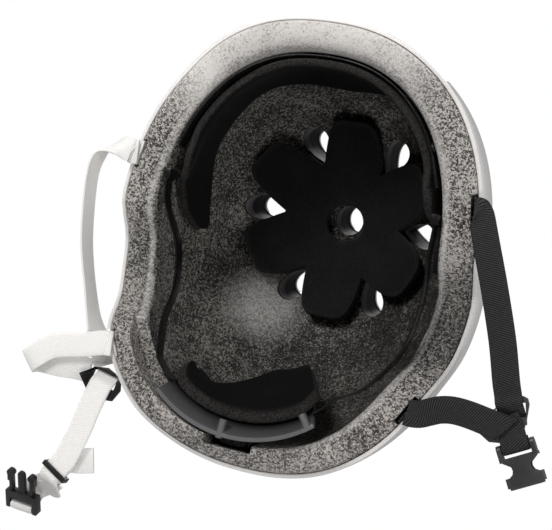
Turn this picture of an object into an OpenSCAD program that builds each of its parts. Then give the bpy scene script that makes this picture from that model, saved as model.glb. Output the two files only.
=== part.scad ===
// Skate helmet: hard outer shell, foam liner, comfort pads, dial-adjusted headband and chin harness.
// Millimetres. It stands on its rim on z = 0, with the crown up. The wearer's left is +X and the front is -Y.
// The origin is the middle of the head opening on the plane that the rim rests on.

/* [Helmet] */
// Width over the shell at the rim
overall_w = 224; // [205:1:240]
// Length over the shell at the rim
overall_l = 267; // [245:1:285]
// Height of the crown over the rest plane
overall_h = 148; // [138:1:160]
// How far the middle of the crown lies in front of the middle of the rim
crown_forward = 28.5; // [15:1:40]
// Rise of the crown towards the rear, as a slope
crown_slope = 0.1; // [0:0.01:0.15]
// Fullness of the outline from above, where 2 is an ellipse
outline_power = 2.28; // [2:0.02:2.6]
// Fullness of the dome from the side, where 2 is an ellipse
dome_power = 2.35; // [2.1:0.05:2.6]

/* [Rim line] */
// Height of the rim beside the temples
temple_lift = 9; // [4:1:12]
// Further height of the ear cut-out over the temples
ear_lift = 18; // [10:1:24]
// Place of the ear cut-out behind the middle of the rim
ear_back = 30; // [20:1:40]
// Half length of the ear cut-out
ear_reach = 31; // [24:1:36]
// Height of the rim at the middle of the rear
rear_lift = 10; // [4:1:14]

/* [Walls] */
// Thickness of the hard shell
shell_t = 2.4; // [1.6:0.1:3.2]
// Thickness of the foam at the rim
liner_side = 21; // [18:0.5:24]
// How much thinner the foam is behind the head
rear_thinner = 7; // [0:0.5:9]
// How much thinner the foam is over the brow
front_thinner = 4; // [0:0.5:6]
// Thickness of the foam at the crown
liner_crown = 28; // [22:0.5:32]
// Rounding of the foam's inner edge at the rim
rim_round = 5; // [3:0.5:7]

/* [Vents] */
// Diameter of the round vent in the crown
hub_vent_d = 19; // [14:0.5:22]
// Length of a drop-shaped vent
vent_l = 25; // [18:0.5:28]
// Width of a drop-shaped vent
vent_w = 16; // [10:0.5:18]
// Distance of the drop-shaped vents from the middle of the crown
vent_ring_r = 52; // [46:1:56]
// Number of drop-shaped vents
vent_count = 6; // [5:1:7]
// Forward lean of all vents
vent_lean = 9.5; // [0:0.5:14]

/* [Pads] */
// Thickness of the crown pad
crown_pad_t = 8; // [5:0.5:10]
// Reach of the crown pad's arms from the middle
arm_reach = 63.5; // [56:1:72]
// Width of an arm of the crown pad
arm_w = 39; // [30:1:42]
// Diameter of the hole in the crown pad
crown_pad_hole_d = 24; // [20:0.5:28]
// How far the crown pad sits behind the middle of the crown, as it was stuck in
crown_pad_back = 2.5; // [0:0.5:3]
// Thickness of the brow pad
brow_pad_t = 5.5; // [4:0.5:8]
// Height of the brow pad at its middle
brow_pad_h = 61; // [50:1:64]
// Height of the brow pad beside its middle
brow_waist_h = 36; // [32:1:44]
// Further height of the brow pad at the temples
brow_lobe_h = 10; // [4:1:14]
// How far the brow pad wraps round each side, from the middle of the front
brow_wrap = 92; // [84:1:94]
// Height of the brow pad's lower edge over the rim
brow_pad_up = 4.5; // [4:0.5:7]
// Thickness of the rear pad
rear_pad_t = 8; // [5:0.5:10]
// Height of the rear pad's lobes
rear_pad_h = 44; // [30:1:46]
// Thickness of the hook discs that hold the pads
hook_t = 0.9; // [0.6:0.1:1.2]
// Diameter of the hook discs
hook_d = 14; // [10:1:16]

/* [Headband] */
// Thickness of the headband strip
band_t = 1.2; // [0.8:0.1:1.8]
// Height of the headband strip
band_h = 9; // [7:0.5:11]
// Height of the headband's lower edge over the rest plane
band_up = 9.5; // [8:0.5:12]
// How much further the right arm stands off the foam than the left one, as it was left
band_off = 14; // [4:0.5:16]
// How far the cradle sits towards the wearer's right, as it was left
cradle_aside = 9; // [0:0.5:12]
// Travel of the cradle from loose to tight
cradle_travel = 8; // [4:0.5:9]
// How much smaller the rear cradle's radius is than the foam's inside
cradle_inset = 9.6; // [6:0.2:14]
// Thickness of the cradle
cradle_t = 2; // [1.4:0.1:2.6]
// Half angle of the cradle
cradle_half = 39; // [34:1:44]
// How far the cradle leans towards the head at its top
cradle_lean = 13; // [4:0.5:15]

/* [Dial] */
// Diameter of the fit dial
dial_d = 27; // [22:0.5:30]
// Thickness of the fit dial
dial_t = 6; // [5:0.5:8]
// Number of finger flutes on the dial
dial_flutes = 16; // [10:1:24]
// Tooth module of the rack and pinion
tooth_module = 1; // [0.8:0.1:1.1]
// Number of teeth on the pinion
pinion_teeth = 10; // [9:1:12]
// Diameter of the pin that the dial turns on
dial_pin_d = 3; // [2.4:0.1:4]

/* [Harness] */
// Width of the webbing
web_w = 15; // [12:0.5:18]
// Thickness of the webbing
web_t = 1.4; // [1:0.1:1.6]
// Place round the rim of the front straps, as an angle from the side towards the front
front_exit = 14; // [10:1:20]
// Place round the rim of the rear straps, as an angle from the side towards the rear
rear_exit = 34; // [31:1:38]
// Diameter of a rivet's head
rivet_head_d = 9; // [7:0.5:11]
// Diameter of a rivet's shank
rivet_d = 3.2; // [2.6:0.1:4]
// Height of the rivets over the rim
rivet_up = 15; // [12:0.5:18]

/* [Buckle] */
// Width of the buckle
buckle_w = 21; // [20:0.5:24]
// Length of the socket's body
socket_l = 17; // [15:0.5:20]
// Thickness of the buckle
buckle_t = 8.6; // [8:0.2:10]
// Wall of the socket
socket_wall = 1.6; // [1.2:0.1:2]
// Length of the plug's prongs
prong_l = 16; // [14:0.5:18]
// Flex of a prong when it is pressed, in degrees
prong_flex = 6; // [3:1:8]

/* [Hidden] */

// Segments round the helmet and rings from the rim to the crown
around = 60;
rings_up = 10;
// Gap between the shell and the foam, which are bonded
skin_gap = 0.32;
// Clearance of pieces that lie on each other
seat = 0.3;
half_w = overall_w / 2;
half_l = overall_l / 2;
// Offsets of the foam's inside from the shell's outside
cavity_side = shell_t + liner_side;
cavity_top = shell_t + liner_crown;
crown_in_z = overall_h - cavity_top;
// How far the shell's edge stays above the foam's edge
shell_edge_up = 2;
// Speed at which the crown moves forward with height
drift_power = 1.6;

// Helpers for points and curves
function unit(v) = v / norm(v);
function smooth(low, high, v) =
    let (u = min(1, max(0, (v - low) / (high - low))))
    u * u * (3 - 2 * u);
function signed_pow(v, p) = sign(v) * pow(abs(v), p);
function mean(points) = [for (i = [0:2]) [for (p = points) p[i]] * [for (p = points) 1 / len(points)]];

// Height of the rim's lower edge at a place along the helmet
function rim_z(y) =
    temple_lift * (1 - smooth(20, 0.7 * half_l, y)) * smooth(-half_l, -0.66 * half_l, y)
    + ear_lift * exp(-pow((y - ear_back) / ear_reach, 4))
    + rear_lift * smooth(0.82 * half_l, half_l, y);

// Half length of the dome at an offset inside the shell. The foam is thinner behind the head and over the brow.
function thinner(across, along) =
    let (part = abs(along) / max(0.001, abs(across) + abs(along)))
    along > 0 ? rear_thinner * smooth(0.1, 0.75, part) : front_thinner * smooth(0.05, 0.5, part);
function reach(side, less) = half_l - side + (side > shell_t + 8 ? less : 0);

// A point of the dome: angle t round the rim, share v of the way up, and offsets inside the shell's outside
function dome(t, v, side, top) =
    let (across = signed_pow(cos(t), 2 / outline_power),
         along = signed_pow(sin(t), 2 / outline_power),
         x0 = (half_w - side) * across,
         y0 = reach(side, thinner(across, along)) * along,
         r = pow(max(0, 1 - pow(v, dome_power)), 1 / dome_power))
    [x0 * r,
     y0 * r - crown_forward * pow(v, drift_power),
     rim_z(y0) * (1 - v) + (overall_h - top) * v + crown_slope * y0 * r * v];

// Share of the way up for a height over the rim
function share(up, t, side, top) =
    up / (overall_h - top - rim_z((half_l - side) * signed_pow(sin(t), 2 / outline_power)));

// Share of the way up of the dome's point that lies over a place on the plan
function share_over(x, y, side, v, turns) =
    let (n = outline_power,
         across = x / (half_w - side),
         y_up = y + crown_forward * pow(v, drift_power),
         first = y_up / (half_l - side),
         second = y_up / reach(side, thinner(across, first)),
         along = y_up / reach(side, thinner(across, second)),
         r = min(0.999, pow(pow(abs(across), n) + pow(abs(along), n), 1 / n)),
         better = pow(1 - pow(r, dome_power), 1 / dome_power))
    turns == 0 ? better : share_over(x, y, side, better, turns - 1);

// Height of the dome over a place on the plan
function dome_z(x, y, side, top) =
    let (v = share_over(x, y, side, 0.9, 6),
         y_up = y + crown_forward * pow(v, drift_power),
         r = max(0.001, pow(1 - pow(v, dome_power), 1 / dome_power)))
    rim_z(y_up / r) * (1 - v) + (overall_h - top) * v + crown_slope * y_up * v;

// A ring of the dome, lifted by dz
function dome_ring(v, side, top, dz = 0) =
    [for (i = [0:around - 1]) dome(i * 360 / around, v, side, top) + [0, 0, dz]];

// Shares of the way up at even steps of angle, from rim to crown
function level(i) = pow(sin(90 * i / rings_up), 2 / dome_power);

// A closed solid through rings of points, capped at both ends
module loft(rings) {
    n = len(rings[0]);
    m = len(rings);
    points = [for (ring = rings) each ring, mean(rings[0]), mean(rings[m - 1])];
    walls = [for (i = [0:m - 2], j = [0:n - 1])
        let (a = i * n + j, b = i * n + (j + 1) % n)
        each [[a, b, b + n], [a, b + n, a + n]]];
    caps = [for (j = [0:n - 1])
        let (k = (j + 1) % n)
        each [[k, j, m * n], [(m - 1) * n + j, (m - 1) * n + k, m * n + 1]]];
    polyhedron(points, concat(walls, caps));
}

// A closed band through rings of points whose last ring meets the first
module loop_loft(rings) {
    n = len(rings[0]);
    m = len(rings);
    polyhedron([for (ring = rings) each ring],
        [for (i = [0:m - 1], j = [0:n - 1])
            let (next = (i + 1) % m, a = i * n + j, b = i * n + (j + 1) % n,
                 c = next * n + (j + 1) % n, d = next * n + j)
            each [[a, b, c], [a, c, d]]]);
}

// A point of the smooth curve through the given ones, u of the way from b to c
function between(a, b, c, d, u) =
    0.5 * (2 * b + (c - a) * u + (2 * a - 5 * b + 4 * c - d) * u * u + (3 * b - a - 3 * c + d) * u * u * u);
function curve(p, k) = let (last = len(p) - 1) [
    for (i = [0:last - 1], j = [0:k - 1])
        between(p[max(0, i - 1)], p[i], p[i + 1], p[min(last, i + 2)], j / k),
    p[last]];

// A flat strip along a curve: route gives its middle line and across the direction of its width.
// slant cuts its far end at a slant.
module strip(route, across, w, t, k = 4, slant = 0) {
    line = curve(route, k);
    wide = curve(across, k);
    last = len(line) - 1;
    loft([for (i = [0:last])
        let (along = unit(line[min(last, i + 1)] - line[max(0, i - 1)]),
             side = unit(wide[i] - (wide[i] * along) * along) * w / 2 + (i == last ? slant : 0) * along,
             up = unit(cross(along, side)) * t / 2)
        [line[i] + side + up, line[i] - side + up, line[i] - side - up, line[i] + side - up]]);
}

// The vents run straight through foam and shell, all leaning forward
module drop_outline(l, w) {
    peak = 0.7698;
    polygon([for (a = [0:12:348]) [l / 2 * cos(a), w / 2 / peak * sin(a) * sin(a / 2)]]);
}
module vent_cuts() {
    depth = liner_crown + 60;
    translate([0, -crown_forward, crown_in_z])
    rotate([vent_lean, 0, 0])
    translate([0, 0, -depth / 2]) {
        cylinder(d = hub_vent_d, h = depth, $fn = 48);
        for (i = [0:vent_count - 1])
            rotate([0, 0, i * 360 / vent_count])
            translate([vent_ring_r, 0, 0])
            rotate([0, 0, 180])
            linear_extrude(depth)
            drop_outline(vent_l, vent_w);
    }
}

// Frames at the four rivets: the middle of the shell's outside there, its outward normal and directions
exit_turns = [-front_exit, rear_exit, 180 + front_exit, 180 - rear_exit];
function rivet_place(t) = dome(t, share(rivet_up, t, 0, 0), 0, 0);
function rivet_out(t) =
    let (v = share(rivet_up, t, 0, 0), e = 0.5,
         sideways = dome(t + e, v, 0, 0) - dome(t - e, v, 0, 0),
         upwards = dome(t, v + 0.01, 0, 0) - dome(t, v - 0.01, 0, 0))
    unit(cross(sideways, upwards));
function rivet_along(t) = unit(cross([0, 0, 1], rivet_out(t)));
function rivet_rise(t) = cross(rivet_out(t), rivet_along(t));
function at(t, x, y, z) =
    rivet_place(t) + x * rivet_out(t) + y * rivet_along(t) + z * rivet_rise(t);
module at_rivet(t) {
    n = rivet_out(t);
    translate(rivet_place(t))
    rotate([0, -asin(n[2]), atan2(n[1], n[0])])
    children();
}

// Depths below the shell's outside at a rivet: tab, washer and the bottom of the strap groove
tab_in = shell_t + 1.1;
tab_out = tab_in + web_t;
washer_t = 1;
groove_in = tab_out + washer_t + 0.8;
groove_w = web_w + 3;
// Height over the rivet to which the groove and the tab go
groove_over = 9;
tab_over = 6;

module outer_shell() {
    color("white")
    difference() {
        loft([for (i = [rings_up - 1:-1:0]) dome_ring(level(i), 0, 0, i == 0 ? shell_edge_up : 0),
              for (i = [0:rings_up - 1]) dome_ring(level(i), shell_t, shell_t, i == 0 ? shell_edge_up : 0)]);
        vent_cuts();
        for (t = exit_turns)
            at_rivet(t)
            rotate([0, 90, 0])
            cylinder(d = rivet_d + 0.4, h = 12, center = true, $fn = 24);
    }
}

module eps_liner() {
    skin = shell_t + skin_gap;
    edge = 2;
    color("dimgray")
    difference() {
        loft([for (i = [rings_up - 1:-1:1]) dome_ring(level(i), skin, skin),
              dome_ring(0, skin, skin, edge),
              dome_ring(0, skin + edge, skin),
              dome_ring(0, cavity_side - rim_round, cavity_top),
              dome_ring(0, cavity_side - rim_round * 0.3, cavity_top, rim_round * 0.3),
              dome_ring(0, cavity_side, cavity_top, rim_round),
              for (i = [1:rings_up - 1]) dome_ring(level(i), cavity_side, cavity_top)]);
        vent_cuts();
        for (t = exit_turns)
            at_rivet(t)
            translate([-groove_in, -groove_w / 2, -rivet_up - 12])
            cube([groove_in + 3, groove_w, rivet_up + 12 + groove_over]);
        cradle_recess();
        dial_notch();
    }
}

// The cushions: a loop of shares across the pad and of its thickness
pad_loop = [[0, 0.4], [0.04, 0.82], [0.22, 1], [0.5, 1.04], [0.78, 1], [0.96, 0.82], [1, 0.4], [0.97, 0],
    [0.5, 0], [0.03, 0]];
// Stand-off of the hook discs, which are flat, and of the pads on them
hook_off = 0.95;
pad_lift = hook_off + hook_t + 0.35;

// Reach of the crown pad in a direction: arms with rounded ends between the vents
function arm_reach_at(angle) =
    let (turn = 360 / vent_count, a = (angle % turn) - turn / 2)
    pow(pow(cos(a) / arm_reach, 4.6) + pow(abs(sin(a)) / (arm_w / 2), 4.6), -1 / 4.6);

module crown_pad() {
    rays = vent_count * 14;
    color("black")
    loop_loft([for (i = [0:rays - 1])
        let (angle = i * 360 / rays, inner = crown_pad_hole_d / 2, outer = arm_reach_at(angle))
        [for (p = pad_loop)
            let (r = inner + (outer - inner) * p[0], h = pad_lift + crown_pad_t * p[1],
                 x = r * cos(angle), y = r * sin(angle) - crown_forward + crown_pad_back)
            [x, y, dome_z(x, y, cavity_side + h, cavity_top + h)]]]);
}

// Heights over the rim of the brow pad's upper and lower edges at an angle from the front. Its ends are rounded.
brow_rise = 26;
function brow_ends(turn) = let (tip = min(1, (brow_wrap - abs(turn)) / 7)) sqrt(max(0.06, 1 - pow(1 - tip, 2)));
function brow_low(turn) = brow_pad_up + brow_rise * smooth(0.72 * brow_wrap, brow_wrap, abs(turn));
function brow_high(turn) =
    brow_pad_up + brow_waist_h + (brow_pad_h - brow_waist_h) * (1 - smooth(0, 38, abs(turn)))
    + brow_lobe_h * smooth(0.67 * brow_wrap, 0.94 * brow_wrap, abs(turn));
// Stand-off of the brow pad, which lies over the headband and over the guides at its ends
function brow_off(turn, z) =
    pad_lift + (brow_pad_lift - pad_lift + guide_room * smooth(58, 67, abs(turn)))
    * (1 - smooth(1.6, 9, z - band_up - band_h));
module brow_pad() {
    color("black")
    loft([for (i = [-18:18])
        let (turn = i / 18 * brow_wrap, t = turn - 90,
             middle = (brow_low(turn) + brow_high(turn)) / 2,
             tall = (brow_high(turn) - brow_low(turn)) * brow_ends(turn))
        [for (p = pad_loop)
            let (up = middle + tall * (p[0] - 0.5),
                 z = rim_z((half_l - cavity_side) * signed_pow(sin(t), 2 / outline_power)) + up,
                 h = brow_off(turn, z) + brow_pad_t * p[1],
                 v = share(up, t, cavity_side + h, cavity_top + h))
            dome(t, v, cavity_side + h, cavity_top + h)]]);
}

// Headband, standing off the foam: a fixed strip round the brow and two arms that slide past its ends
brow_band_off = 1.6;
brow_band_end = 68;
brow_pad_lift = brow_band_off + band_t + 2 * seat;
band_mid = band_up + band_h / 2;
module brow_band() {
    off = cavity_side + brow_band_off + band_t / 2;
    turns = [for (i = [-6:6]) i / 6 * brow_band_end];
    color("black")
    strip([for (turn = turns)
            let (t = turn - 90, p = dome(t, share(10, t, off, cavity_top), off, cavity_top))
            [p[0], p[1], band_mid]],
        [for (turn = turns) [0, 0, 1]], band_h, band_t);
}

// Pegs that hold the brow band in the foam
anchor_d = 6;
module band_anchors() {
    color("black")
    for (turn = [-55, 0, 55]) {
        t = turn - 90;
        off = cavity_side + brow_band_off;
        p = dome(t, share(10, t, off, cavity_top), off, cavity_top);
        q = dome(t + 1, share(10, t + 1, off, cavity_top), off, cavity_top);
        translate([p[0], p[1], band_mid])
        rotate([0, 0, atan2(q[1] - p[1], q[0] - p[0]) - 90])
        rotate([0, 90, 0])
        cylinder(d = anchor_d, h = brow_band_off - seat, $fn = 24);
    }
}
// Loops on the foam in which the front ends of the arms slide
guide_y = -0.22 * half_l;
guide_x = half_w - cavity_side - 5;
guide_room = 2.6;
guide_l = 6;
module temple_guides() {
    wall = 1.1;
    deep = band_t + 1.2;
    high = band_h + 0.8;
    color("black")
    for (s = [-1, 1])
        translate([s * guide_x, guide_y, band_mid])
        difference() {
            translate([-deep / 2 - wall, -guide_l / 2, -high / 2 - wall])
            cube([deep + 2 * wall, guide_l, high + 2 * wall]);
            translate([-deep / 2, -guide_l, -high / 2])
            cube([deep, 2 * guide_l, high]);
        }
}

// The cradle is a part of a ring with a flared skirt, sunk into a recess of the foam
cradle_r = half_w - cavity_side - cradle_inset;
cradle_sunk = 5;
cradle_x = -cradle_aside;
cradle_y = half_l - cavity_side + cradle_sunk - cradle_r;
cradle_low = 2.4;
cradle_waist = 12;
cradle_high = 33;
function cradle_r_at(z) = cradle_r - 5 - cradle_lean * (z - cradle_waist) / (cradle_high - cradle_waist);
function cradle_in_at(z) = cradle_r_at(z) - cradle_t - 0.2;
post_d = 4.6;
boss_w = 26;
boss_low = 15;
boss_high = 33;
module rear_cradle() {
    color([0.08, 0.08, 0.08])
    translate([cradle_x, cradle_y, 0])
    difference() {
        union() {
            rotate([0, 0, 90 - cradle_half])
            rotate_extrude(angle = 2 * cradle_half, $fn = 96)
            polygon([[cradle_in_at(cradle_high), cradle_high],
                [cradle_r_at(cradle_high), cradle_high],
                [cradle_r_at(cradle_waist), cradle_waist + 0.5],
                [cradle_r + 1, cradle_low + 1.8],
                [cradle_r + 1, cradle_low],
                [cradle_r - 1.2, cradle_low],
                [cradle_r - 1.6, cradle_low + 1],
                [cradle_in_at(cradle_waist), cradle_waist]]);
            translate([-boss_w / 2, cradle_in_at(boss_high) - 3, boss_low])
            cube([boss_w, housing_front - 0.1 - cradle_y - cradle_in_at(boss_high) + 3, boss_high - boss_low]);
            for (post = [[4, 11], [-36, 8]])
                translate([0, 0, cradle_low + 2.2])
                rotate([0, 0, post[0]])
                translate([0, cradle_r - 9, 0])
                rotate([-90, 0, 0])
                cylinder(d = post_d, h = post[1], $fn = 24);
        }
        translate([-housing_w / 2 - 0.4, housing_front - 0.1 - cradle_y, dial_z - housing_h / 2 - 0.3])
        cube([housing_w + 0.8, 20, housing_h + 20]);
        translate([0, 0, boss_low - 0.5])
        cylinder(r1 = cradle_in_at(boss_low - 0.5) - 0.01, r2 = cradle_in_at(80) - 0.01, h = 80.5 - boss_low, $fn = 96);
    }
}
// Room for the cradle's skirt in the foam
module cradle_recess() {
    translate([cradle_x, cradle_y, -30])
    cylinder(r = cradle_r + 2.5, h = 30 + cradle_waist + 2, $fn = 96);
}

// Arms from the cradle's ends to the temples, each with its own stand-off at the ear
function arm_route(s, off) =
    let (mid = (cradle_r_at(band_mid) + cradle_in_at(band_mid)) / 2, wall = half_w - cavity_side,
         y_end = cradle_y + mid * cos(cradle_half))
    [for (a = [cradle_half + 0.4, cradle_half + 7, cradle_half + 13])
         [cradle_x + s * mid * sin(a), cradle_y + mid * cos(a), band_mid],
     [s * (wall - 27 + 0.4 * off), 0.78 * y_end, band_mid],
     [s * (wall - 13.6 - 0.5 * off), 0.6 * y_end, band_mid],
     [s * (wall - 6.5 - 1.2 * off), 0.4 * y_end, band_mid + 1],
     [s * (wall - 3.6 - 1.1 * off), 0.125 * y_end, band_mid + 0.5],
     [s * (guide_x - 0.2 * off), -0.1 * y_end, band_mid],
     [s * guide_x, -0.23 * y_end, band_mid],
     [s * guide_x, -0.355 * y_end, band_mid]];
module band_arm(s, off) {
    route = arm_route(s, off);
    strip(route, [for (p = route) [0, 0, 1]], band_h, band_t, 5);
}
module left_band_arm() {
    color([0.08, 0.08, 0.08]) band_arm(1, 0);
}
module right_band_arm() {
    color([0.08, 0.08, 0.08]) band_arm(-1, band_off);
}

// Rear pad on the cradle's inner side: low on the right and a tall lobe on the left
module rear_pad() {
    wrap = cradle_half + 4;
    color("black")
    loft([for (i = [-14:14])
        let (turn = i / 14 * wrap,
             tip = min(1, (wrap - abs(turn)) / 10),
             high = rear_pad_h * (0.22 + 0.78 * smooth(-30, 9, turn)) * sqrt(max(0.03, 1 - pow(1 - tip, 2))),
             low = cradle_waist + 8 * (1 - tip) * (1 - tip))
        [for (p = pad_loop)
            let (z = low + high * p[0],
                 r = cradle_in_at(z) - 0.7 - rear_pad_t * p[1])
            [cradle_x + r * sin(turn), cradle_y + r * cos(turn), z]]]);
}

// Dial: housing on the cradle's boss, pinion between two racks, cover, and the knob behind
dial_z = (boss_low + boss_high) / 2;
housing_w = 28;
housing_t = 5;
housing_wall = 1.4;
cover_t = 1.2;
pinion_r = tooth_module * pinion_teeth / 2;
rack_t = 3;
rack_back = 1.6;
rack_l = 16;
rack_room = 2 * (pinion_r + 1.1 * tooth_module + rack_back + seat);
housing_h = rack_room + 4.4;
housing_front = cradle_y + cradle_r_at(dial_z - housing_h / 2) - 0.9;
dial_front = housing_front + housing_t + cover_t + seat;
module rounded_plate(w, h, t, r) {
    translate([-w / 2 + r, 0, -h / 2])
    cube([w - 2 * r, t, h]);
    translate([-w / 2, 0, -h / 2 + r])
    cube([w, t, h - 2 * r]);
    for (x = [-1, 1], z = [-1, 1])
        translate([x * (w / 2 - r), 0, z * (h / 2 - r)])
        rotate([-90, 0, 0])
        cylinder(r = r, h = t, $fn = 24);
}
module dial_housing() {
    color([0.1, 0.1, 0.1])
    translate([cradle_x, housing_front, dial_z])
    difference() {
        rounded_plate(housing_w, housing_h, housing_t, 3);
        translate([-housing_w, housing_wall, -rack_room / 2])
        cube([2 * housing_w, housing_t, rack_room]);
        rotate([-90, 0, 0])
        cylinder(d = dial_pin_d + 0.1, h = housing_t, center = true, $fn = 32);
    }
}
module dial_cover() {
    color([0.1, 0.1, 0.1])
    translate([cradle_x, housing_front + housing_t + 0.1, dial_z])
    difference() {
        rounded_plate(housing_w, housing_h, cover_t, 3);
        rotate([-90, 0, 0])
        cylinder(d = dial_pin_d + 0.1, h = 3 * cover_t, center = true, $fn = 32);
    }
}
module dial_pin() {
    color("silver")
    translate([cradle_x, housing_front, dial_z])
    rotate([-90, 0, 0]) {
        cylinder(d = dial_pin_d, h = dial_front - housing_front + dial_t + 0.2, $fn = 32);
        translate([0, 0, dial_front - housing_front + dial_t + 0.2])
        cylinder(d = dial_pin_d + 3, h = 0.8, $fn = 32);
    }
}
module dial_pinion() {
    tip_r = pinion_r + 0.8 * tooth_module;
    root_r = pinion_r - 1.1 * tooth_module;
    color("white")
    translate([cradle_x, housing_front + housing_wall + 0.4, dial_z])
    rotate([-90, 0, 0])
    difference() {
        linear_extrude(rack_t)
        polygon([for (i = [0:pinion_teeth - 1], k = [[-0.3, 0], [-0.14, 1], [0.14, 1], [0.3, 0]])
            let (a = (i + k[0]) * 360 / pinion_teeth + 90, r = k[1] == 1 ? tip_r : root_r)
            [r * cos(a), r * sin(a)]]);
        cylinder(d = dial_pin_d + 0.1, h = 3 * rack_t, center = true, $fn = 32);
    }
}
module rack(s) {
    pitch = PI * tooth_module;
    depth = 1.9 * tooth_module;
    first = ceil(-rack_l * 0.7 / pitch - 0.2);
    last = floor(rack_l * 0.3 / pitch - 0.8);
    color([0.15, 0.15, 0.15])
    translate([cradle_x, housing_front + housing_wall + 0.4, dial_z])
    rotate([-90, 0, 0])
    rotate([0, 0, s > 0 ? 180 : 0])
    linear_extrude(rack_t)
    polygon([[-rack_l * 0.7, pinion_r + 1.1 * tooth_module + rack_back],
        [-rack_l * 0.7, pinion_r + 1.1 * tooth_module],
        for (i = [first:last], k = [[-0.3, 0], [-0.12, 1], [0.12, 1], [0.3, 0]])
            [(i + 0.5 + k[0]) * pitch, pinion_r + 1.1 * tooth_module - k[1] * depth],
        [rack_l * 0.3, pinion_r + 1.1 * tooth_module],
        [rack_l * 0.3, pinion_r + 1.1 * tooth_module + rack_back]]);
}
module left_rack() {
    rack(1);
}
module right_rack() {
    rack(-1);
}
module fit_dial() {
    flute_r = dial_d * PI / dial_flutes / 3.2;
    color([0.08, 0.08, 0.08])
    translate([cradle_x, dial_front, dial_z])
    rotate([-90, 0, 0])
    difference() {
        rotate_extrude($fn = 64)
        polygon([[0, 0], [dial_d / 2 - 0.8, 0], [dial_d / 2, 0.8], [dial_d / 2, dial_t - 1.4],
            [dial_d / 2 - 1.4, dial_t], [0, dial_t]]);
        cylinder(d = dial_pin_d + 0.1, h = 3 * dial_t, center = true, $fn = 32);
        for (i = [0:dial_flutes - 1])
            rotate([0, 0, i * 360 / dial_flutes])
            translate([dial_d / 2 + flute_r * 0.45, 0, -1])
            cylinder(r = flute_r, h = dial_t + 2, $fn = 16);
    }
}
// Room for the dial and its housing in the rim of the foam
module dial_notch() {
    room = 1;
    translate([cradle_x - housing_w / 2 - room, cradle_y, -30])
    cube([housing_w + 2 * room, dial_front + dial_t + room + 0.6 - cradle_y, 30 + boss_high + 8]);
}

// Frames on the foam's inside, for what is fixed to it: on the wall and over a place on the plan
module at_wall(t, up) {
    v = share(up, t, cavity_side, cavity_top);
    p = dome(t, v, cavity_side, cavity_top);
    sideways = dome(t + 0.5, v, cavity_side, cavity_top) - dome(t - 0.5, v, cavity_side, cavity_top);
    upwards = dome(t, v + 0.01, cavity_side, cavity_top) - dome(t, v - 0.01, cavity_side, cavity_top);
    out = unit(cross(sideways, upwards));
    translate(p)
    rotate([0, acos(out[2]), atan2(out[1], out[0])])
    children();
}
module at_crown(x, y) {
    slope_x = (dome_z(x + 1, y, cavity_side, cavity_top) - dome_z(x - 1, y, cavity_side, cavity_top)) / 2;
    slope_y = (dome_z(x, y + 1, cavity_side, cavity_top) - dome_z(x, y - 1, cavity_side, cavity_top)) / 2;
    out = unit([-slope_x, -slope_y, 1]);
    translate([x, y, dome_z(x, y, cavity_side, cavity_top)])
    rotate([0, acos(out[2]), atan2(out[1], out[0])])
    children();
}
module hook_discs() {
    color([0.15, 0.15, 0.15]) {
        for (i = [0:vent_count - 1])
            at_crown(arm_reach * 0.68 * cos((i + 0.5) * 360 / vent_count),
                arm_reach * 0.68 * sin((i + 0.5) * 360 / vent_count) - crown_forward + crown_pad_back)
            translate([0, 0, -hook_off - hook_t])
            cylinder(d = hook_d, h = hook_t, $fn = 32);
        for (turn = [-62, -25, 25, 62])
            at_wall(turn - 90, brow_pad_up + brow_waist_h * 0.68)
            translate([0, 0, -hook_off - hook_t])
            cylinder(d = hook_d, h = hook_t, $fn = 32);
    }
}

// Heights of the layers of webbing that lie on the rest plane
lay_1 = web_t / 2 + 0.2;
lay_2 = lay_1 + web_t + seat;
// Height at which a strap leaves its tab: below the rim, but over the rest plane
function exit_z(t) =
    max(lay_1, rim_z((half_l - strap_in) * signed_pow(sin(t), 2 / outline_power)) - web_t / 2 - 0.6);

// Rivets with their washers and the webbing ends that they hold
module strap_rivets() {
    color("silver")
    for (t = exit_turns)
        at_rivet(t)
        rotate([0, 90, 0]) {
            translate([0, 0, 0.25])
            cylinder(d1 = rivet_head_d, d2 = rivet_head_d - 3, h = 1.5, $fn = 32);
            translate([0, 0, -tab_out - washer_t - 0.4])
            cylinder(d = rivet_d, h = tab_out + washer_t + 0.7, $fn = 32);
            translate([0, 0, -tab_out - washer_t - 0.75])
            cylinder(d = rivet_d + 1.6, h = 0.5, $fn = 32);
        }
}
module rivet_washers() {
    color("gray")
    for (t = exit_turns)
        at_rivet(t)
        rotate([0, 90, 0])
        translate([0, 0, -tab_out - washer_t - 0.1])
        difference() {
            cylinder(d = rivet_head_d, h = washer_t, $fn = 32);
            cylinder(d = rivet_d + 0.1, h = 3 * washer_t, center = true, $fn = 32);
        }
}

// The tabs end just over the places where the straps start
function tab_low(t) = (exit_z(t) + web_t / 2 + 0.9 - rivet_place(t)[2]) / rivet_rise(t)[2];
module strap_tabs() {
    color([0.3, 0.3, 0.3])
    for (t = exit_turns)
        at_rivet(t)
        difference() {
            translate([-tab_out, -web_w / 2, tab_low(t)])
            cube([web_t, web_w, tab_over - tab_low(t)]);
            rotate([0, 90, 0])
            cylinder(d = rivet_d + 0.1, h = 4 * tab_out, center = true, $fn = 32);
        }
}

// Where each strap leaves its tab, and the direction across it there
strap_in = (tab_in + tab_out) / 2;
function exit_point(i) = [for (k = [0:2]) k < 2 ? at(exit_turns[i], -strap_in, 0, -rivet_up)[k] : exit_z(exit_turns[i])];
// Each harness swings about the line through its two exits
function swing(s) = unit(exit_point(s > 0 ? 1 : 3) - exit_point(s > 0 ? 0 : 2));
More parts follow.
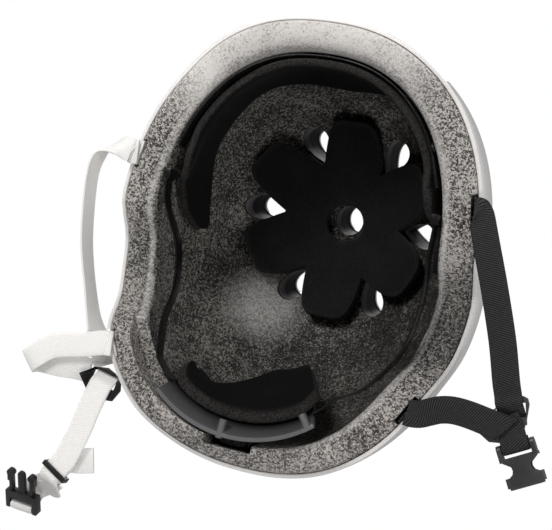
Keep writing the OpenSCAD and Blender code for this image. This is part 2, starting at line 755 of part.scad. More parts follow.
// A strap through places given from its exit, starting square to that line
module harness_strap(i, places, across, k = 4, slant = 0) {
    start = exit_point(i);
    s = sign(start[0]);
    h = swing(s);
    out = unit([s, 0, 0] - (s * h[0]) * h);
    strip([start, start + 3 * out, for (p = places) [start[0] + p[0], start[1] + p[1], p[2]]],
        [h, h, for (a = across) a], web_w, web_t, k, slant);
}
plate_t = 2.2;
slot_l = 7.6;

module left_front_strap() {
    color([0.1, 0.1, 0.1])
    harness_strap(0, [[5.6, 3.4, 5.4], [8, 9.5, 3], [12, 19, 1.4], [20.5, 40, lay_1], [30.5, 67, lay_1],
            [36.8, 88, lay_1 + 0.3], [39.2, 95.6, lay_2], [40.4, 99.6, lay_2 + 0.02], [41.9, 103.2, lay_2 + 2],
            [43.3, 106.8, lay_2 + 4.1], [44.5, 111, lay_2 + 4.1]],
        [[-0.45, 0.89, 0], [-0.8, 0.6, 0], [-0.92, 0.4, 0], [-0.94, 0.34, 0], [-0.95, 0.32, 0], [-0.95, 0.3, 0],
            [-0.96, 0.28, 0], [-0.97, 0.25, 0], [-0.97, 0.24, 0], [-0.97, 0.24, 0], [-0.97, 0.24, 0]]);
}
module left_rear_strap() {
    color([0.1, 0.1, 0.1])
    harness_strap(1, [[7.5, -0.4, lay_1], [12.5, -2.7, lay_1], [18, -5.1, lay_1], [25, -6.4, lay_1], [34, -6, lay_1],
            [47, -4, lay_1], [55.5, -2.8, lay_1]],
        [[-0.06, 1, -0.03], [0.1, 1, 0], [0.15, 1, 0], [0.04, 1, 0], [-0.08, 1, 0], [-0.12, 1, 0], [-0.14, 1, 0]],
        slant = -4);
}
// Plate that joins the straps below the ear, with a slot for the front strap
module divider_plate(outline, slot_at, slot_turn, low) {
    translate([0, 0, low])
    difference() {
        linear_extrude(plate_t)
        polygon(outline);
        translate([slot_at[0], slot_at[1], -1])
        rotate([0, 0, slot_turn])
        translate([-(web_w + 1.4) / 2, -slot_l / 2, 0])
        cube([web_w + 1.4, slot_l, plate_t + 2]);
    }
}
left_low = lay_2 + web_t / 2 + seat;
module left_divider() {
    p = exit_point(0);
    color([0.2, 0.2, 0.2])
    divider_plate([for (q = [[33.5, 104], [34, 99.2], [36, 97], [47, 94.2], [49.6, 95], [51, 98], [51.3, 108],
            [50.8, 112], [39.5, 121.6], [34, 122.4], [26.8, 118.4], [25.6, 112.5]]) [p[0] + q[0], p[1] + q[1]]],
        [p[0] + 41.9, p[1] + 103.2], -14, left_low);
}
// The chin webbing on the left loops round the bar of the socket
bar_r = 1.4;
bar_turn = -28.9;
bar_z = bar_r + seat + web_t + 0.2;
function socket_bar() = [exit_point(0)[0] + 48.7, exit_point(0)[1] + 121.6, bar_z];
bend_r = bar_r + seat + web_t / 2;
module left_chin_strap() {
    b = socket_bar();
    u = [-sin(bar_turn), cos(bar_turn), 0];
    w = [cos(bar_turn), sin(bar_turn), 0];
    z = [0, 0, 1];
    color([0.1, 0.1, 0.1])
    strip([b - 17 * u - 0.5 * w + [0, 0, lay_2 - bar_z], b - 11 * u + [0, 0, lay_2 - bar_z],
            b - 7 * u + [0, 0, lay_2 - bar_z], b - 2.6 * u + [0, 0, lay_1 + 0.3 - bar_z], b - bend_r * z, b + 0.7 * bend_r * (u - z),
            b + bend_r * u, b + 0.7 * bend_r * (u + z), b + bend_r * z, b - 2 * u + bend_r * z,
            b - 4.6 * u + (bend_r + 0.4) * z],
        [for (i = [0:10]) w], web_w, web_t, 3);
}

// Socket of the buckle: webbing bar between two rails, narrow waist and an open mouth
module at_socket() {
    translate(socket_bar())
    rotate([0, 0, bar_turn])
    children();
}
socket_start = 4.6;
module buckle_socket() {
    half = buckle_w / 2;
    rail = (buckle_w - web_w - 1) / 2;
    low = 0.2 - bar_z;
    rail_high = 2 * bar_z - 0.4;
    outline = [[-half, socket_start], [half, socket_start], [0.86 * half, socket_start + 2.2],
        [0.5 * half, socket_start + 5], [0.47 * half, socket_start + 7], [0.54 * half, socket_start + 9],
        [0.82 * half, socket_start + 11], [0.9 * half, socket_start + 13.4], [0.84 * half, socket_start + socket_l],
        [-0.84 * half, socket_start + socket_l], [-0.9 * half, socket_start + 13.4],
        [-0.82 * half, socket_start + 11], [-0.54 * half, socket_start + 9], [-0.47 * half, socket_start + 7],
        [-0.5 * half, socket_start + 5], [-0.86 * half, socket_start + 2.2]];
    color([0.25, 0.25, 0.25])
    at_socket() {
        rotate([0, 90, 0])
        cylinder(r = bar_r, h = buckle_w - rail, center = true, $fn = 32);
        for (s = [-1, 1])
            translate([s * (half - rail / 2) - rail / 2, 0, 0])
            difference() {
                union() {
                    rotate([0, 90, 0])
                    cylinder(r = rail_high / 2, h = rail, $fn = 32);
                    translate([0, 0, -rail_high / 2])
                    cube([rail, socket_start + 1, rail_high]);
                }
                translate([-1, -20, low - 5])
                cube([rail + 2, 40, 5]);
            }
        for (z = [low, low + buckle_t - socket_wall])
            translate([0, 0, z])
            linear_extrude(socket_wall)
            polygon(outline);
        translate([-half, socket_start, low])
        cube([buckle_w, 1.8, buckle_t]);
        translate([-0.42 * half, socket_start, low])
        cube([0.84 * half, 3, buckle_t]);
        for (s = [-1, 1])
            translate([s * (half - socket_wall / 2) - socket_wall / 2 - s * 0.4, socket_start + 10.4, low])
            cube([socket_wall, socket_l - 11.6, buckle_t]);
    }
}

// The right harness is tangled: its front strap lies on edge and its rear strap is folded
module right_front_strap() {
    color("whitesmoke")
    harness_strap(2, [[-5, -0.5, 6.4], [-11, -1.8, 6], [-19, 0, 7.4], [-25.5, 6, 7.9], [-27.8, 18.5, 8],
            [-25, 43.5, 8], [-20.5, 64.7, 8], [-12.5, 88, 8], [-5.5, 106, 8.4], [3, 120, 8.4], [8.5, 130, 7.8]],
        [[0, -1, 0.2], [0, -0.85, 0.5], [-0.2, -0.4, 0.9], [0, 0, 1], [0, 0, 1], [0, 0, 1], [0, 0, 1],
            [0, 0, 1], [0.2, 0, 1], [0.75, -0.3, 0.6], [0.9, -0.4, 0.2]]);
}
module right_rear_strap() {
    fold = lay_1 + 4.6;
    color("whitesmoke")
    harness_strap(3, [[-4, 0.4, lay_1], [-8, 1.2, lay_1], [-18, 4, lay_1], [-38, 9, lay_1],
            [-49.5, 17.5, lay_1], [-53.6, 21.2, lay_1 + 0.9], [-54.4, 22, lay_1 + 2.4], [-53.4, 21.2, fold - 0.4],
            [-49, 19.6, fold], [-34, 19.4, fold], [-22, 18.6, fold], [-13, 19, fold]],
        [[-0.05, 1, 0], [0, 1, 0], [0.1, 0.98, 0], [0.38, 0.92, 0], [0.62, 0.78, 0], [0.66, 0.75, 0],
            [0.66, 0.75, 0], [0.6, 0.8, 0], [0.3, 0.95, 0], [0.05, 1, 0], [0.05, 1, 0], [0.05, 1, 0]]);
}
right_low = lay_1 + web_t / 2 + 0.4;
module right_divider() {
    p = exit_point(3);
    color([0.15, 0.15, 0.15])
    divider_plate([for (q = [[-18.6, 21.5], [-15.5, 19.8], [-12, 17.8], [-6, 15.2], [0, 14.6], [5, 16.8],
            [10, 22.5], [10.6, 26.5], [6.5, 33.5], [0, 34], [-7, 33], [-11.5, 30]]) [p[0] + q[0], p[1] + q[1]]],
        [p[0] - 1, p[1] + 21.6], 12, right_low);
}

// Frame of the plug: its webbing bar, with the prongs along +Y and its front along +Z
plug_lean = 30;
plug_turn = 3;
plug_t = 5.6;
plug_len = 26;
function plug_axes() =
    let (w = [cos(plug_turn), sin(plug_turn), 0],
         p = [sin(plug_turn) * cos(plug_lean), -cos(plug_turn) * cos(plug_lean), -sin(plug_lean)])
    [w, p, cross(w, p)];
function plug_bar() = [exit_point(3)[0] - 44.5, exit_point(3)[1] + 110, plug_len * sin(plug_lean) + plug_t / 2 + 0.6];
function by_plug(x, y, z) = plug_bar() + x * plug_axes()[0] + y * plug_axes()[1] + z * plug_axes()[2];
module at_plug() {
    translate(plug_bar())
    rotate([-180 + plug_lean, 0, plug_turn])
    children();
}

// The chin webbing on the right runs through the ring, round the plug's bar and back through the ring
ring_way = unit([-0.47, 0.88, 0]);
function ring_place() = [exit_point(3)[0] - 19.9, exit_point(3)[1] + 82, 0];
module right_chin_strap() {
    e = exit_point(3);
    r = ring_place();
    c = [ring_way[1], -ring_way[0], 0];
    w = plug_axes()[0];
    color("whitesmoke")
    strip([[e[0] + 0.4, e[1] + 17, right_low + plate_t + lay_1 + 0.3], [e[0] - 0.6, e[1] + 21, right_low + 1.4],
            [e[0] - 1.8, e[1] + 24.6, lay_1 + 0.2], [e[0] - 3.5, e[1] + 30, lay_1], [e[0] - 6.6, e[1] + 42, lay_1],
            [e[0] - 8.6, e[1] + 52, lay_1], r - 12 * ring_way + [0, 0, lay_1], r - 6 * ring_way + [0, 0, lay_1],
            r + [0, 0, lay_1], r + 5.5 * ring_way + [0, 0, lay_1], [r[0] - 2, r[1] + 9.6, 4.6],
            [r[0] - 7.4, r[1] + 13.4, 13.2], by_plug(6, 12, -7), by_plug(2, 7.5, -5), by_plug(0.4, 4.3, -4),
            by_plug(0, 2.8, -1), by_plug(0, 1.6, 2.2), by_plug(0, -0.6, 2.7), by_plug(0, -2.5, 1.4),
            by_plug(0, -2.9, -1.2), by_plug(0.2, -1.4, -4), by_plug(1, 3, -7), by_plug(4, 9, -8.6),
            [r[0] - 9, r[1] + 9.2, 16], [r[0] - 5, r[1] + 7.4, 8.4], r + 5.5 * ring_way + [0, 0, lay_2 + 0.4],
            r + [0, 0, lay_2], r - 4.5 * ring_way + [0, 0, lay_2], [r[0] + 6, r[1] - 8, lay_2 + 0.6],
            [r[0] + 12, r[1] - 9, lay_2 + 2], [r[0] + 21.5, r[1] - 11.4, lay_2 + 3]],
        [[1, 0.2, 0], [1, 0.2, 0], [1, 0.22, 0], [1, 0.2, 0], [1, 0.15, 0], [1, 0.15, 0], [0.96, 0.3, 0], c, c, c,
            c + [0, 0, -0.1], unit(c + w), w, w, w, w, w, w, w, w, w, w, w, unit(c + w), c, c, c, c,
            [0.75, 0.66, 0], [0.3, 0.95, 0], [0.25, 0.97, 0]], web_w, web_t, 3);
}
// Loop that keeps the two layers of the chin webbing together
module keeper_ring() {
    wall = 1.1;
    inside_w = web_w + 1.2;
    inside_t = lay_2 + web_t / 2 + 0.35;
    color([0.1, 0.1, 0.1])
    translate([ring_place()[0], ring_place()[1], 0.1])
    rotate([0, 0, atan2(ring_way[1], ring_way[0]) - 90])
    difference() {
        translate([-inside_w / 2 - wall, -1.6, -wall])
        cube([inside_w + 2 * wall, 3.2, inside_t + 2 * wall]);
        translate([-inside_w / 2, -3, -0.35])
        cube([inside_w, 6, inside_t + 0.45]);
    }
}

// Plug of the buckle: base with a webbing bar, a middle blade and two sprung prongs
base_start = 5;
base_end = plug_len - prong_l;
module buckle_plug() {
    half = buckle_w / 2 + 0.4;
    rail = half - web_w / 2 - 0.6;
    color([0.12, 0.12, 0.12])
    at_plug() {
        rotate([0, 90, 0])
        cylinder(r = bar_r, h = 2 * half - rail, center = true, $fn = 32);
        for (s = [-1, 1])
            translate([s * (half - rail / 2) - rail / 2, -2.4, -plug_t / 2])
            cube([rail, base_start + 3, plug_t]);
        translate([-half, base_start, -plug_t / 2])
        cube([2 * half, base_end - base_start, plug_t]);
        translate([-2.4, base_end - 0.5, -1.2])
        cube([4.8, prong_l - 2.4, 2.4]);
        translate([0, plug_len - 2.9, -1.2])
        cylinder(r = 2.4, h = 2.4, $fn = 32);
    }
}
module plug_prong(s) {
    root_x = buckle_w / 2 - 3.2;
    color([0.12, 0.12, 0.12])
    at_plug()
    translate([0, 0, -1.9]) {
        translate([s * root_x - 1.1, base_end + seat, 0])
        cube([2.2, prong_l - 5, 3.8]);
        translate([s * (root_x + 0.2), plug_len - 3.2, 0])
        cylinder(r = 2.5, h = 3.8, $fn = 32);
        translate([s * (root_x + 1.2) - 1.1, base_end + 7, 0])
        cube([2.2, prong_l - 10, 3.8]);
    }
}
module plug_prong_left() {
    plug_prong(1);
}
module plug_prong_right() {
    plug_prong(-1);
}

outer_shell();
eps_liner();
crown_pad();
brow_pad();
rear_pad();
hook_discs();
brow_band();
band_anchors();
temple_guides();
left_band_arm();
right_band_arm();
rear_cradle();
dial_housing();
dial_cover();
fit_dial();
dial_pinion();
dial_pin();
left_rack();
right_rack();
strap_rivets();
rivet_washers();
strap_tabs();
left_front_strap();
left_rear_strap();
left_divider();
left_chin_strap();
buckle_socket();
right_front_strap();
right_rear_strap();
right_divider();
right_chin_strap();
keeper_ring();
buckle_plug();
plug_prong_left();
plug_prong_right();
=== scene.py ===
# %% [markdown]
# A skate helmet seen from below, dressed in Blender. The frame holds the solids that OpenSCAD made, in
# metres, with +Z up through the crown and -Y towards the brow. Each cell makes one piece or one finish.
# The hard parts keep the places and sizes of their solids. The shell, the foam, the pads and the webbing
# are made again with finer forms, because their solids are coarse.

# %% Load the frame and keep the box of the solids
from functools import partial
from math import cos, exp, hypot, pi, radians, sin, sqrt

import bpy
from mathutils import Matrix, Vector


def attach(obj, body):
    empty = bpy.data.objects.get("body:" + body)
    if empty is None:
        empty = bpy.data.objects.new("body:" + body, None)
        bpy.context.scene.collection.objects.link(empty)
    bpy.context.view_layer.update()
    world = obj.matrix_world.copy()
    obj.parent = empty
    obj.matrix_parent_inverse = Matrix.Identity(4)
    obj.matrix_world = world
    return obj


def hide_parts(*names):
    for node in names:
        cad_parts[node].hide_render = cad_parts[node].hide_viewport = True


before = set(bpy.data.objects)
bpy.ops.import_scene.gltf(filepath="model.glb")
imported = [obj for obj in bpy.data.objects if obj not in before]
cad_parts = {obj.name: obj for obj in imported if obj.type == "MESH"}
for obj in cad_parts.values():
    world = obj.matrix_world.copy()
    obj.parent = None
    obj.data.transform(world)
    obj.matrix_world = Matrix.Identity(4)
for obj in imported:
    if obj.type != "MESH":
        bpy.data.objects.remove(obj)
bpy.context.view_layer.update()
scene = bpy.context.scene
scene.view_settings.view_transform = "Standard"

# %% [markdown]
# The picture was taken from under the helmet, a little to the wearer's left, so the camera looks up into
# the bowl. A long lens keeps the rim's outline almost free of perspective. The place and the turn were
# worked out from the rim, the vents and the ends of the straps.

# %% Camera under the helmet
camera_data = bpy.data.cameras.new("camera")
camera_data.lens = 87.9
camera_data.sensor_width = 36
camera_data.clip_start = 0.05
camera = bpy.data.objects.new("camera", camera_data)
scene.collection.objects.link(camera)
camera_place = Vector((0.2709, 0.0336, -0.7223))
ahead = Vector((-0.351, -0.027, 0.936)).normalized()
picture_up = Vector((-0.182, -0.979, -0.096))
picture_right = ahead.cross(picture_up).normalized()
picture_up = picture_right.cross(ahead).normalized()
turned = Matrix((picture_right, picture_up, -ahead)).transposed().to_4x4()
camera.matrix_world = Matrix.Translation(camera_place) @ turned
scene.camera = camera
print("camera at", tuple(camera_place))

# %% [markdown]
# A few short helpers are used all over. One turns a colour as a designer writes it, in sRGB hex, into the
# linear numbers that Blender works with. One links sources to a node's sockets, and one adds a node with its
# settings, its colour stops and its links. One starts a material, so that every uniform value sits on the
# shader's own socket. It also gives the shader, the piece's own coordinates and a way to add to its tree.

# %% Helpers for materials
# A pattern's scale is its number of waves or cells per metre, so 1000 gives a size of 1 mm.
# These are the places of a colour mix's sockets: its share, its two colours and its result.
SHARE, FIRST, SECOND, MIXED = 0, 6, 7, 2


def linear(hex_colour):
    parts = [int(hex_colour[i:i + 2], 16) / 255 for i in (1, 3, 5)]
    return tuple(c / 12.92 if c <= 0.04045 else ((c + 0.055) / 1.055) ** 2.4 for c in parts) + (1.0,)


def wire(node, links):
    """Link each source, a socket or else a node's first output, to the input that it is listed for."""
    for name, source in links.items():
        socket = source.outputs[0] if isinstance(source, bpy.types.Node) else source
        node.id_data.links.new(socket, node.inputs[name])


def add_node(tree, kind, settings=None, links=None):
    node = tree.nodes.new("ShaderNode" + kind)
    for name, value in (settings or {}).items():
        if name == "stops":
            while len(node.color_ramp.elements) < len(value):
                node.color_ramp.elements.new(0.5)
            for element, (place, colour) in zip(node.color_ramp.elements, value):
                element.position = place
                element.color = linear(colour)
        elif isinstance(name, str) and hasattr(node, name):
            setattr(node, name, value)
        else:
            node.inputs[name].default_value = value
    wire(node, links or {})
    return node


def start_material(name, colour, roughness, **values):
    material = bpy.data.materials.new(name)
    material.use_nodes = True
    add = partial(add_node, material.node_tree)
    shader = material.node_tree.nodes["Principled BSDF"]
    shader.inputs["Base Color"].default_value = linear(colour)
    shader.inputs["Roughness"].default_value = roughness
    for socket, value in values.items():
        shader.inputs[socket.replace("_", " ").title().replace("Ior", "IOR")].default_value = value
    material.diffuse_color = linear(colour)
    return material, add, shader, add("TexCoord").outputs["Object"]


print("white in linear numbers:", linear("#ffffff"))

# %% [markdown]
# The surroundings are a white studio. The world is white to the camera, and gives a soft even light from all
# round. The floor is pale where it is seen from above. From below, and to the lamps, it lets everything
# through, because this camera looks up through it.

# %% World and floor
LIGHT_ALL_ROUND = 0.31
world = bpy.data.worlds.new("studio")
scene.world = world
world.use_nodes = True
world.node_tree.nodes.clear()
add = partial(add_node, world.node_tree)
path = add("LightPath")
seen = add("Math", {"operation": "MAXIMUM"},
           {0: path.outputs["Is Camera Ray"], 1: path.outputs["Is Transmission Ray"]})
strength = add("MapRange", {"To Min": LIGHT_ALL_ROUND, "To Max": 1.0}, {"Value": seen})
light = add("Background", {"Color": (1, 1, 1, 1)}, {"Strength": strength})
add("OutputWorld", links={"Surface": light})

floor_material = bpy.data.materials.new("pale studio floor")
floor_material.use_nodes = True
floor_material.node_tree.nodes.clear()
add = partial(add_node, floor_material.node_tree)
under = add("NewGeometry")
path = add("LightPath")
paint = add("BsdfDiffuse", {"Color": (0.8, 0.8, 0.8, 1)})
open_way = add("BsdfTransparent")
upward = add("Math", {"operation": "MAXIMUM"},
             {0: under.outputs["Backfacing"], 1: path.outputs["Is Shadow Ray"]})
floor_mix = add("MixShader", links={0: upward, 1: paint, 2: open_way})
add("OutputMaterial", links={"Surface": floor_mix})

bpy.ops.object.select_all(action="DESELECT")
bpy.ops.mesh.primitive_plane_add(size=6, location=(0, 0, -0.0005))
floor = bpy.context.object
floor.name = "floor"
floor.data.materials.append(floor_material)
print("floor and world made")

# %% [markdown]
# The lamps are wide and soft. One stands under the brow and to the wearer's right, where the picture's
# rim is palest and the inside of the rear wall shines. Weaker ones fill from the left and from behind, and
# one over the helmet lights the outside for the other views.

# %% Lamps
def add_lamp(name, place, aim, size, power):
    data = bpy.data.lights.new(name, "AREA")
    data.shape = "DISK"
    data.size = size
    data.energy = power
    lamp = bpy.data.objects.new(name, data)
    scene.collection.objects.link(lamp)
    lamp.location = place
    lamp.rotation_euler = (Vector(aim) - Vector(place)).to_track_quat("-Z", "Y").to_euler()


add_lamp("brow_lamp", (-0.45, -0.75, -0.95), (0, 0, 0.05), 0.5, 8)
add_lamp("left_lamp", (0.95, -0.25, -0.5), (0, 0, 0.05), 0.7, 3.4)
add_lamp("rear_lamp", (0.3, 0.9, -0.8), (0, 0, 0.02), 0.6, 3.6)
add_lamp("top_lamp", (-0.5, -0.8, 1.2), (0, 0, 0.06), 1.0, 12)

# %% [markdown]
# The helmet's form is a dome over a long oval. One function gives any point of it from a turn round the
# rim and a share of the way up. The same function with an offset gives the shell's inside, the foam's
# outside and the foam's inside, so all the layers fit. The numbers repeat those of the construction.

# %% The dome
HALF_W, HALF_L, HIGH = 0.112, 0.1335, 0.148
FORWARD, SLOPE, OVAL, DOME = 0.0285, 0.1, 2.28, 2.35
SHELL, FOAM_SIDE, FOAM_TOP = 0.0024, 0.021, 0.028
THINNER_BEHIND, THINNER_IN_FRONT = 0.007, 0.004
CAVITY, CAVITY_TOP = SHELL + FOAM_SIDE, SHELL + FOAM_TOP
TEMPLE_RISE, EAR_RISE, NAPE_RISE = 0.009, 0.018, 0.01
EAR_BACK, EAR_SPAN = 0.03, 0.031


def smooth(low, high, value):
    u = min(1.0, max(0.0, (value - low) / (high - low)))
    return u * u * (3 - 2 * u)


def signed_power(value, power):
    return abs(value) ** power if value >= 0 else -abs(value) ** power


def rim_height(y):
    temple = TEMPLE_RISE * (1 - smooth(0.02, 0.7 * HALF_L, y)) * smooth(-HALF_L, -0.66 * HALF_L, y)
    ear = EAR_RISE * exp(-((y - EAR_BACK) / EAR_SPAN) ** 4)
    return temple + ear + NAPE_RISE * smooth(0.82 * HALF_L, HALF_L, y)


def thinner(across, along):
    part = abs(along) / max(0.001, abs(across) + abs(along))
    if along > 0:
        return THINNER_BEHIND * smooth(0.1, 0.75, part)
    return THINNER_IN_FRONT * smooth(0.05, 0.5, part)


def reach(side, less):
    return HALF_L - side + (less if side > SHELL + 0.008 else 0.0)


def dome(turn, up, side, top, lift=0.0):
    across = signed_power(cos(turn), 2 / OVAL)
    along = signed_power(sin(turn), 2 / OVAL)
    x = (HALF_W - side) * across
    y = reach(side, thinner(across, along)) * along
    r = max(0.0, 1 - up ** DOME) ** (1 / DOME)
    z = rim_height(y) * (1 - up) + (HIGH - top) * up + SLOPE * y * r * up
    return Vector((x * r, y * r - FORWARD * up ** 1.6, z + lift))


def share_up(height, turn, side, top):
    return height / (HIGH - top - rim_height((HALF_L - side) * signed_power(sin(turn), 2 / OVAL)))


def dome_over(x, y, side, top):
    """The height of the dome over a place, found by closing in on the share of the way up."""
    up = 0.9
    for _ in range(7):
        across = x / (HALF_W - side)
        y_up = y + FORWARD * up ** 1.6
        along = y_up / (HALF_L - side)
        for _ in range(2):
            along = y_up / reach(side, thinner(across, along))
        r = min(0.999, (abs(across) ** OVAL + abs(along) ** OVAL) ** (1 / OVAL))
        up = (1 - r ** DOME) ** (1 / DOME)
    y_up = y + FORWARD * up ** 1.6
    r = max(0.001, (1 - up ** DOME) ** (1 / DOME))
    return rim_height(y_up / r) * (1 - up) + (HIGH - top) * up + SLOPE * y_up * up


print("crown of the shell at", tuple(round(c, 4) for c in dome(0, 1, 0, 0)))

# %% [markdown]
# Forms that follow a formula are made as rings of points joined by faces. This is the one thing that
# editing by hand can't do well. Each ring has the same number of points, and the last ring of a closed
# band may join the first. Ends may be closed by a fan of triangles. A last helper tells the frame which
# solid a finished piece stands for and what it moves with.

# %% Rings of points into a mesh
def ring_mesh(name, rings, closed=False):
    count, size = len(rings), len(rings[0])
    points = [tuple(p) for ring in rings for p in ring]
    faces = []
    for i in range(count if closed else count - 1):
        j = (i + 1) % count
        for k in range(size):
            m = (k + 1) % size
            faces.append((i * size + k, i * size + m, j * size + m, j * size + k))
    if not closed:
        for ring_at, turned_round in ((0, True), (count - 1, False)):
            middle = sum((Vector(p) for p in rings[ring_at]), Vector()) / size
            points.append(tuple(middle))
            for k in range(size):
                a, b = ring_at * size + k, ring_at * size + (k + 1) % size
                faces.append((b, a, len(points) - 1) if turned_round else (a, b, len(points) - 1))
    mesh = bpy.data.meshes.new(name)
    mesh.from_pydata(points, [], faces)
    piece = bpy.data.objects.new(name, mesh)
    scene.collection.objects.link(piece)
    return piece


def only(piece):
    bpy.ops.object.select_all(action="DESELECT")
    piece.select_set(True)
    bpy.context.view_layer.objects.active = piece


def face_outwards(piece, merge=True):
    only(piece)
    bpy.ops.object.mode_set(mode="EDIT")
    bpy.ops.mesh.select_all(action="SELECT")
    if merge:
        bpy.ops.mesh.remove_doubles(threshold=0.00001)
    bpy.ops.mesh.normals_make_consistent(inside=False)
    bpy.ops.object.mode_set(mode="OBJECT")


def finish_shading(piece, angle):
    only(piece)
    bpy.ops.object.shade_smooth_by_angle(angle=radians(angle))


def apply_modifier(piece, kind, **settings):
    only(piece)
    modifier = piece.modifiers.new(kind.lower(), kind)
    for key, value in settings.items():
        setattr(modifier, key, value)
    bpy.ops.object.modifier_apply(modifier=modifier.name)


def stand_for(piece, node, body):
    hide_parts(node)
    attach(piece, body)
    print(piece.name, len(piece.data.polygons), "faces on", body)


print("mesh helpers ready")

# %% [markdown]
# The seven vents run straight through foam and shell and lean forward together. Each is cut with a
# punch: a tall prism with a round or a drop outline. The punch for the foam stops at the crown side of
# the shell, and carries its own smooth finish into the walls that it cuts, as the mould's steel pins do.

# %% Punches for the vents
VENTS, VENT_LONG, VENT_WIDE, VENT_RING, HUB = 6, 0.025, 0.016, 0.052, 0.019
VENT_LEAN, PUNCH_HALF = radians(9.5), 0.06
DROP_PEAK = 0.7698  # the largest value of sin(a) * sin(a / 2)
OUTLINE = 64
AROUND = 168


def vent_outline(index, grow):
    points = []
    for step in range(OUTLINE):
        if index == VENTS:
            a = step * 2 * pi / OUTLINE
            points.append(((HUB / 2 + grow) * cos(a), (HUB / 2 + grow) * sin(a)))
        else:
            a = (step + 0.5) * 2 * pi / OUTLINE
            x = VENT_RING - (VENT_LONG / 2 + grow) * cos(a)
            y = -(VENT_WIDE / 2 / DROP_PEAK + grow) * sin(a) * sin(a / 2)
            turn = index * 2 * pi / VENTS
            points.append((x * cos(turn) - y * sin(turn), x * sin(turn) + y * cos(turn)))
    return points


def vent_punches(name, grow, material=None):
    lean = Matrix.Translation((0, -FORWARD, HIGH - CAVITY_TOP)) @ Matrix.Rotation(VENT_LEAN, 4, "X")
    punches = []
    for index in range(VENTS + 1):
        outline = vent_outline(index, grow)
        rings = [[lean @ Vector((x, y, z)) for x, y in outline] for z in (-PUNCH_HALF, PUNCH_HALF)]
        punch = ring_mesh(f"{name}_{index}", rings)
        face_outwards(punch)
        if material:
            punch.data.materials.append(material)
        punches.append(punch)
    return punches


def cut(piece, punches):
    for punch in punches:
        apply_modifier(piece, "BOOLEAN", operation="DIFFERENCE", object=punch, solver="MANIFOLD",
                       material_mode="TRANSFER")
    for punch in punches:
        bpy.data.objects.remove(punch, do_unlink=True)


print("vents:", VENTS + 1)

# %% [markdown]
# Expanded polystyrene is beads of foam steamed together in a steel mould. The skin shows each bead as a
# cell of about 1 mm, charcoal with a few bright specks and a dent along each wall, and it is slightly
# glossy where the mould was smooth. The beads are Voronoi cells in the object's own space. The inside has
# darker tones than the rim and darkens towards the wearer's left, as painted shade. The rim is painted
# paler along the brow as light, its inner edge is painted pale all round as a highlight, and one field
# inside has a painted glare. The mould's ejector pins leave two fine rings. All that is drawn by place.

# %% Bead foam
# beads of about 1 mm, specks of half that, and patches of 30 mm
BEADS, SPECKS, PATCHES = 1050.0, 2200.0, 34.0
# tones from a bead's darkest to its brightest specks
# the inside's tones are darker than the rim's, as painted shade
SHADED_INSIDE = [(0.36, "#131211"), (0.58, "#22211e"), (0.74, "#3b3935"), (0.86, "#75726c"), (0.97, "#b5b1ab")]
PLAIN_RIM = [(0.44, "#0f0e0d"), (0.61, "#2b2826"), (0.71, "#605b57"), (0.87, "#d2cdc8")]
HIGHLIGHT_SKIN = [(0.34, "#55514e"), (0.52, "#989490"), (0.7, "#c6c2be"), (0.9, "#e9e6e3")]
RIM_LIGHT_SKIN = [(0.34, "#7a7571"), (0.5, "#b4afab"), (0.62, "#d8d4d0"), (0.8, "#e9e6e3")]
# how much painted light the rim gets, from opposite the palest place round to it
RIM_LIGHT_ROUND = [(0.0, "#6c6c6c"), (0.16, "#404040"), (0.42, "#101010"), (0.82, "#282828"), (0.88, "#8a8a8a"),
                (0.93, "#ffffff")]
PALEST_WAY = (-0.13, -0.99, 0)
# centre and reach of a painted glare where a lamp shines on the inside
GLARE_FIELD, GLARE_OUT_TO, GLARE_FULL_TO = (-0.0416, 0.0372, 0.101), 0.034, 0.006
# centre, radius and half the line of each ejector pin's ring
PIN_MARKS = [((-0.0347, -0.102, 0.0699), 0.0105, 0.0004), ((-0.0448, 0.0821, 0.0652), 0.0165, 0.0004)]


def bead_speckle(add, at):
    beads = add("TexVoronoi", {"Scale": BEADS, "Randomness": 1.0}, {"Vector": at})
    tone = add("SeparateColor", links={"Color": beads.outputs["Color"]})
    specks = add("TexNoise", {"Scale": SPECKS, "Detail": 2.0, "Roughness": 0.6}, {"Vector": at})
    patches = add("TexNoise", {"Scale": PATCHES, "Detail": 4.0, "Roughness": 0.6}, {"Vector": at})
    mixed = add("Math", {"operation": "MULTIPLY_ADD", 1: 0.42}, {0: tone, 2: specks})
    level = add("Math", {"operation": "MULTIPLY_ADD", 1: 0.5, 2: -0.2}, {0: patches})
    return add("Math", {"operation": "ADD"}, {0: mixed, 1: level})


def painted_rim_light(add, at, height):
    """How much painted light each place of the rim gets: most at its foot and towards the brow, where the
    brow lamp shines.
    """
    low = add("MapRange", {"interpolation_type": "SMOOTHSTEP", "From Min": 0.022, "From Max": 0.014},
              {"Value": height})
    level = add("VectorMath", {"operation": "MULTIPLY", 1: (1, 1, 0)}, {0: at})
    way = add("VectorMath", {"operation": "NORMALIZE"}, {0: level})
    near = add("VectorMath", {"operation": "DOT_PRODUCT", 1: PALEST_WAY}, {0: way})
    turn = add("MapRange", {"From Min": -1.0}, {"Value": near.outputs["Value"]})
    rim_light = add("ValToRGB", {"stops": RIM_LIGHT_ROUND}, {"Fac": turn})
    return add("Math", {"operation": "MULTIPLY"}, {0: low, 1: rim_light})


def painted_highlights(add, at):
    """The larger of two painted highlights: the inner edge of the rim, where it catches the light, and a
    field inside, where a lamp's glare falls.
    """
    edge = add("Attribute", {"attribute_name": "worn_edge"})
    away = add("VectorMath", {"operation": "DISTANCE", 1: GLARE_FIELD}, {0: at})
    field = add("MapRange", {"From Min": GLARE_OUT_TO, "From Max": GLARE_FULL_TO,
                             "interpolation_type": "SMOOTHSTEP"}, {"Value": away.outputs["Value"]})
    return add("Math", {"operation": "MAXIMUM"}, {0: edge.outputs["Fac"], 1: field})


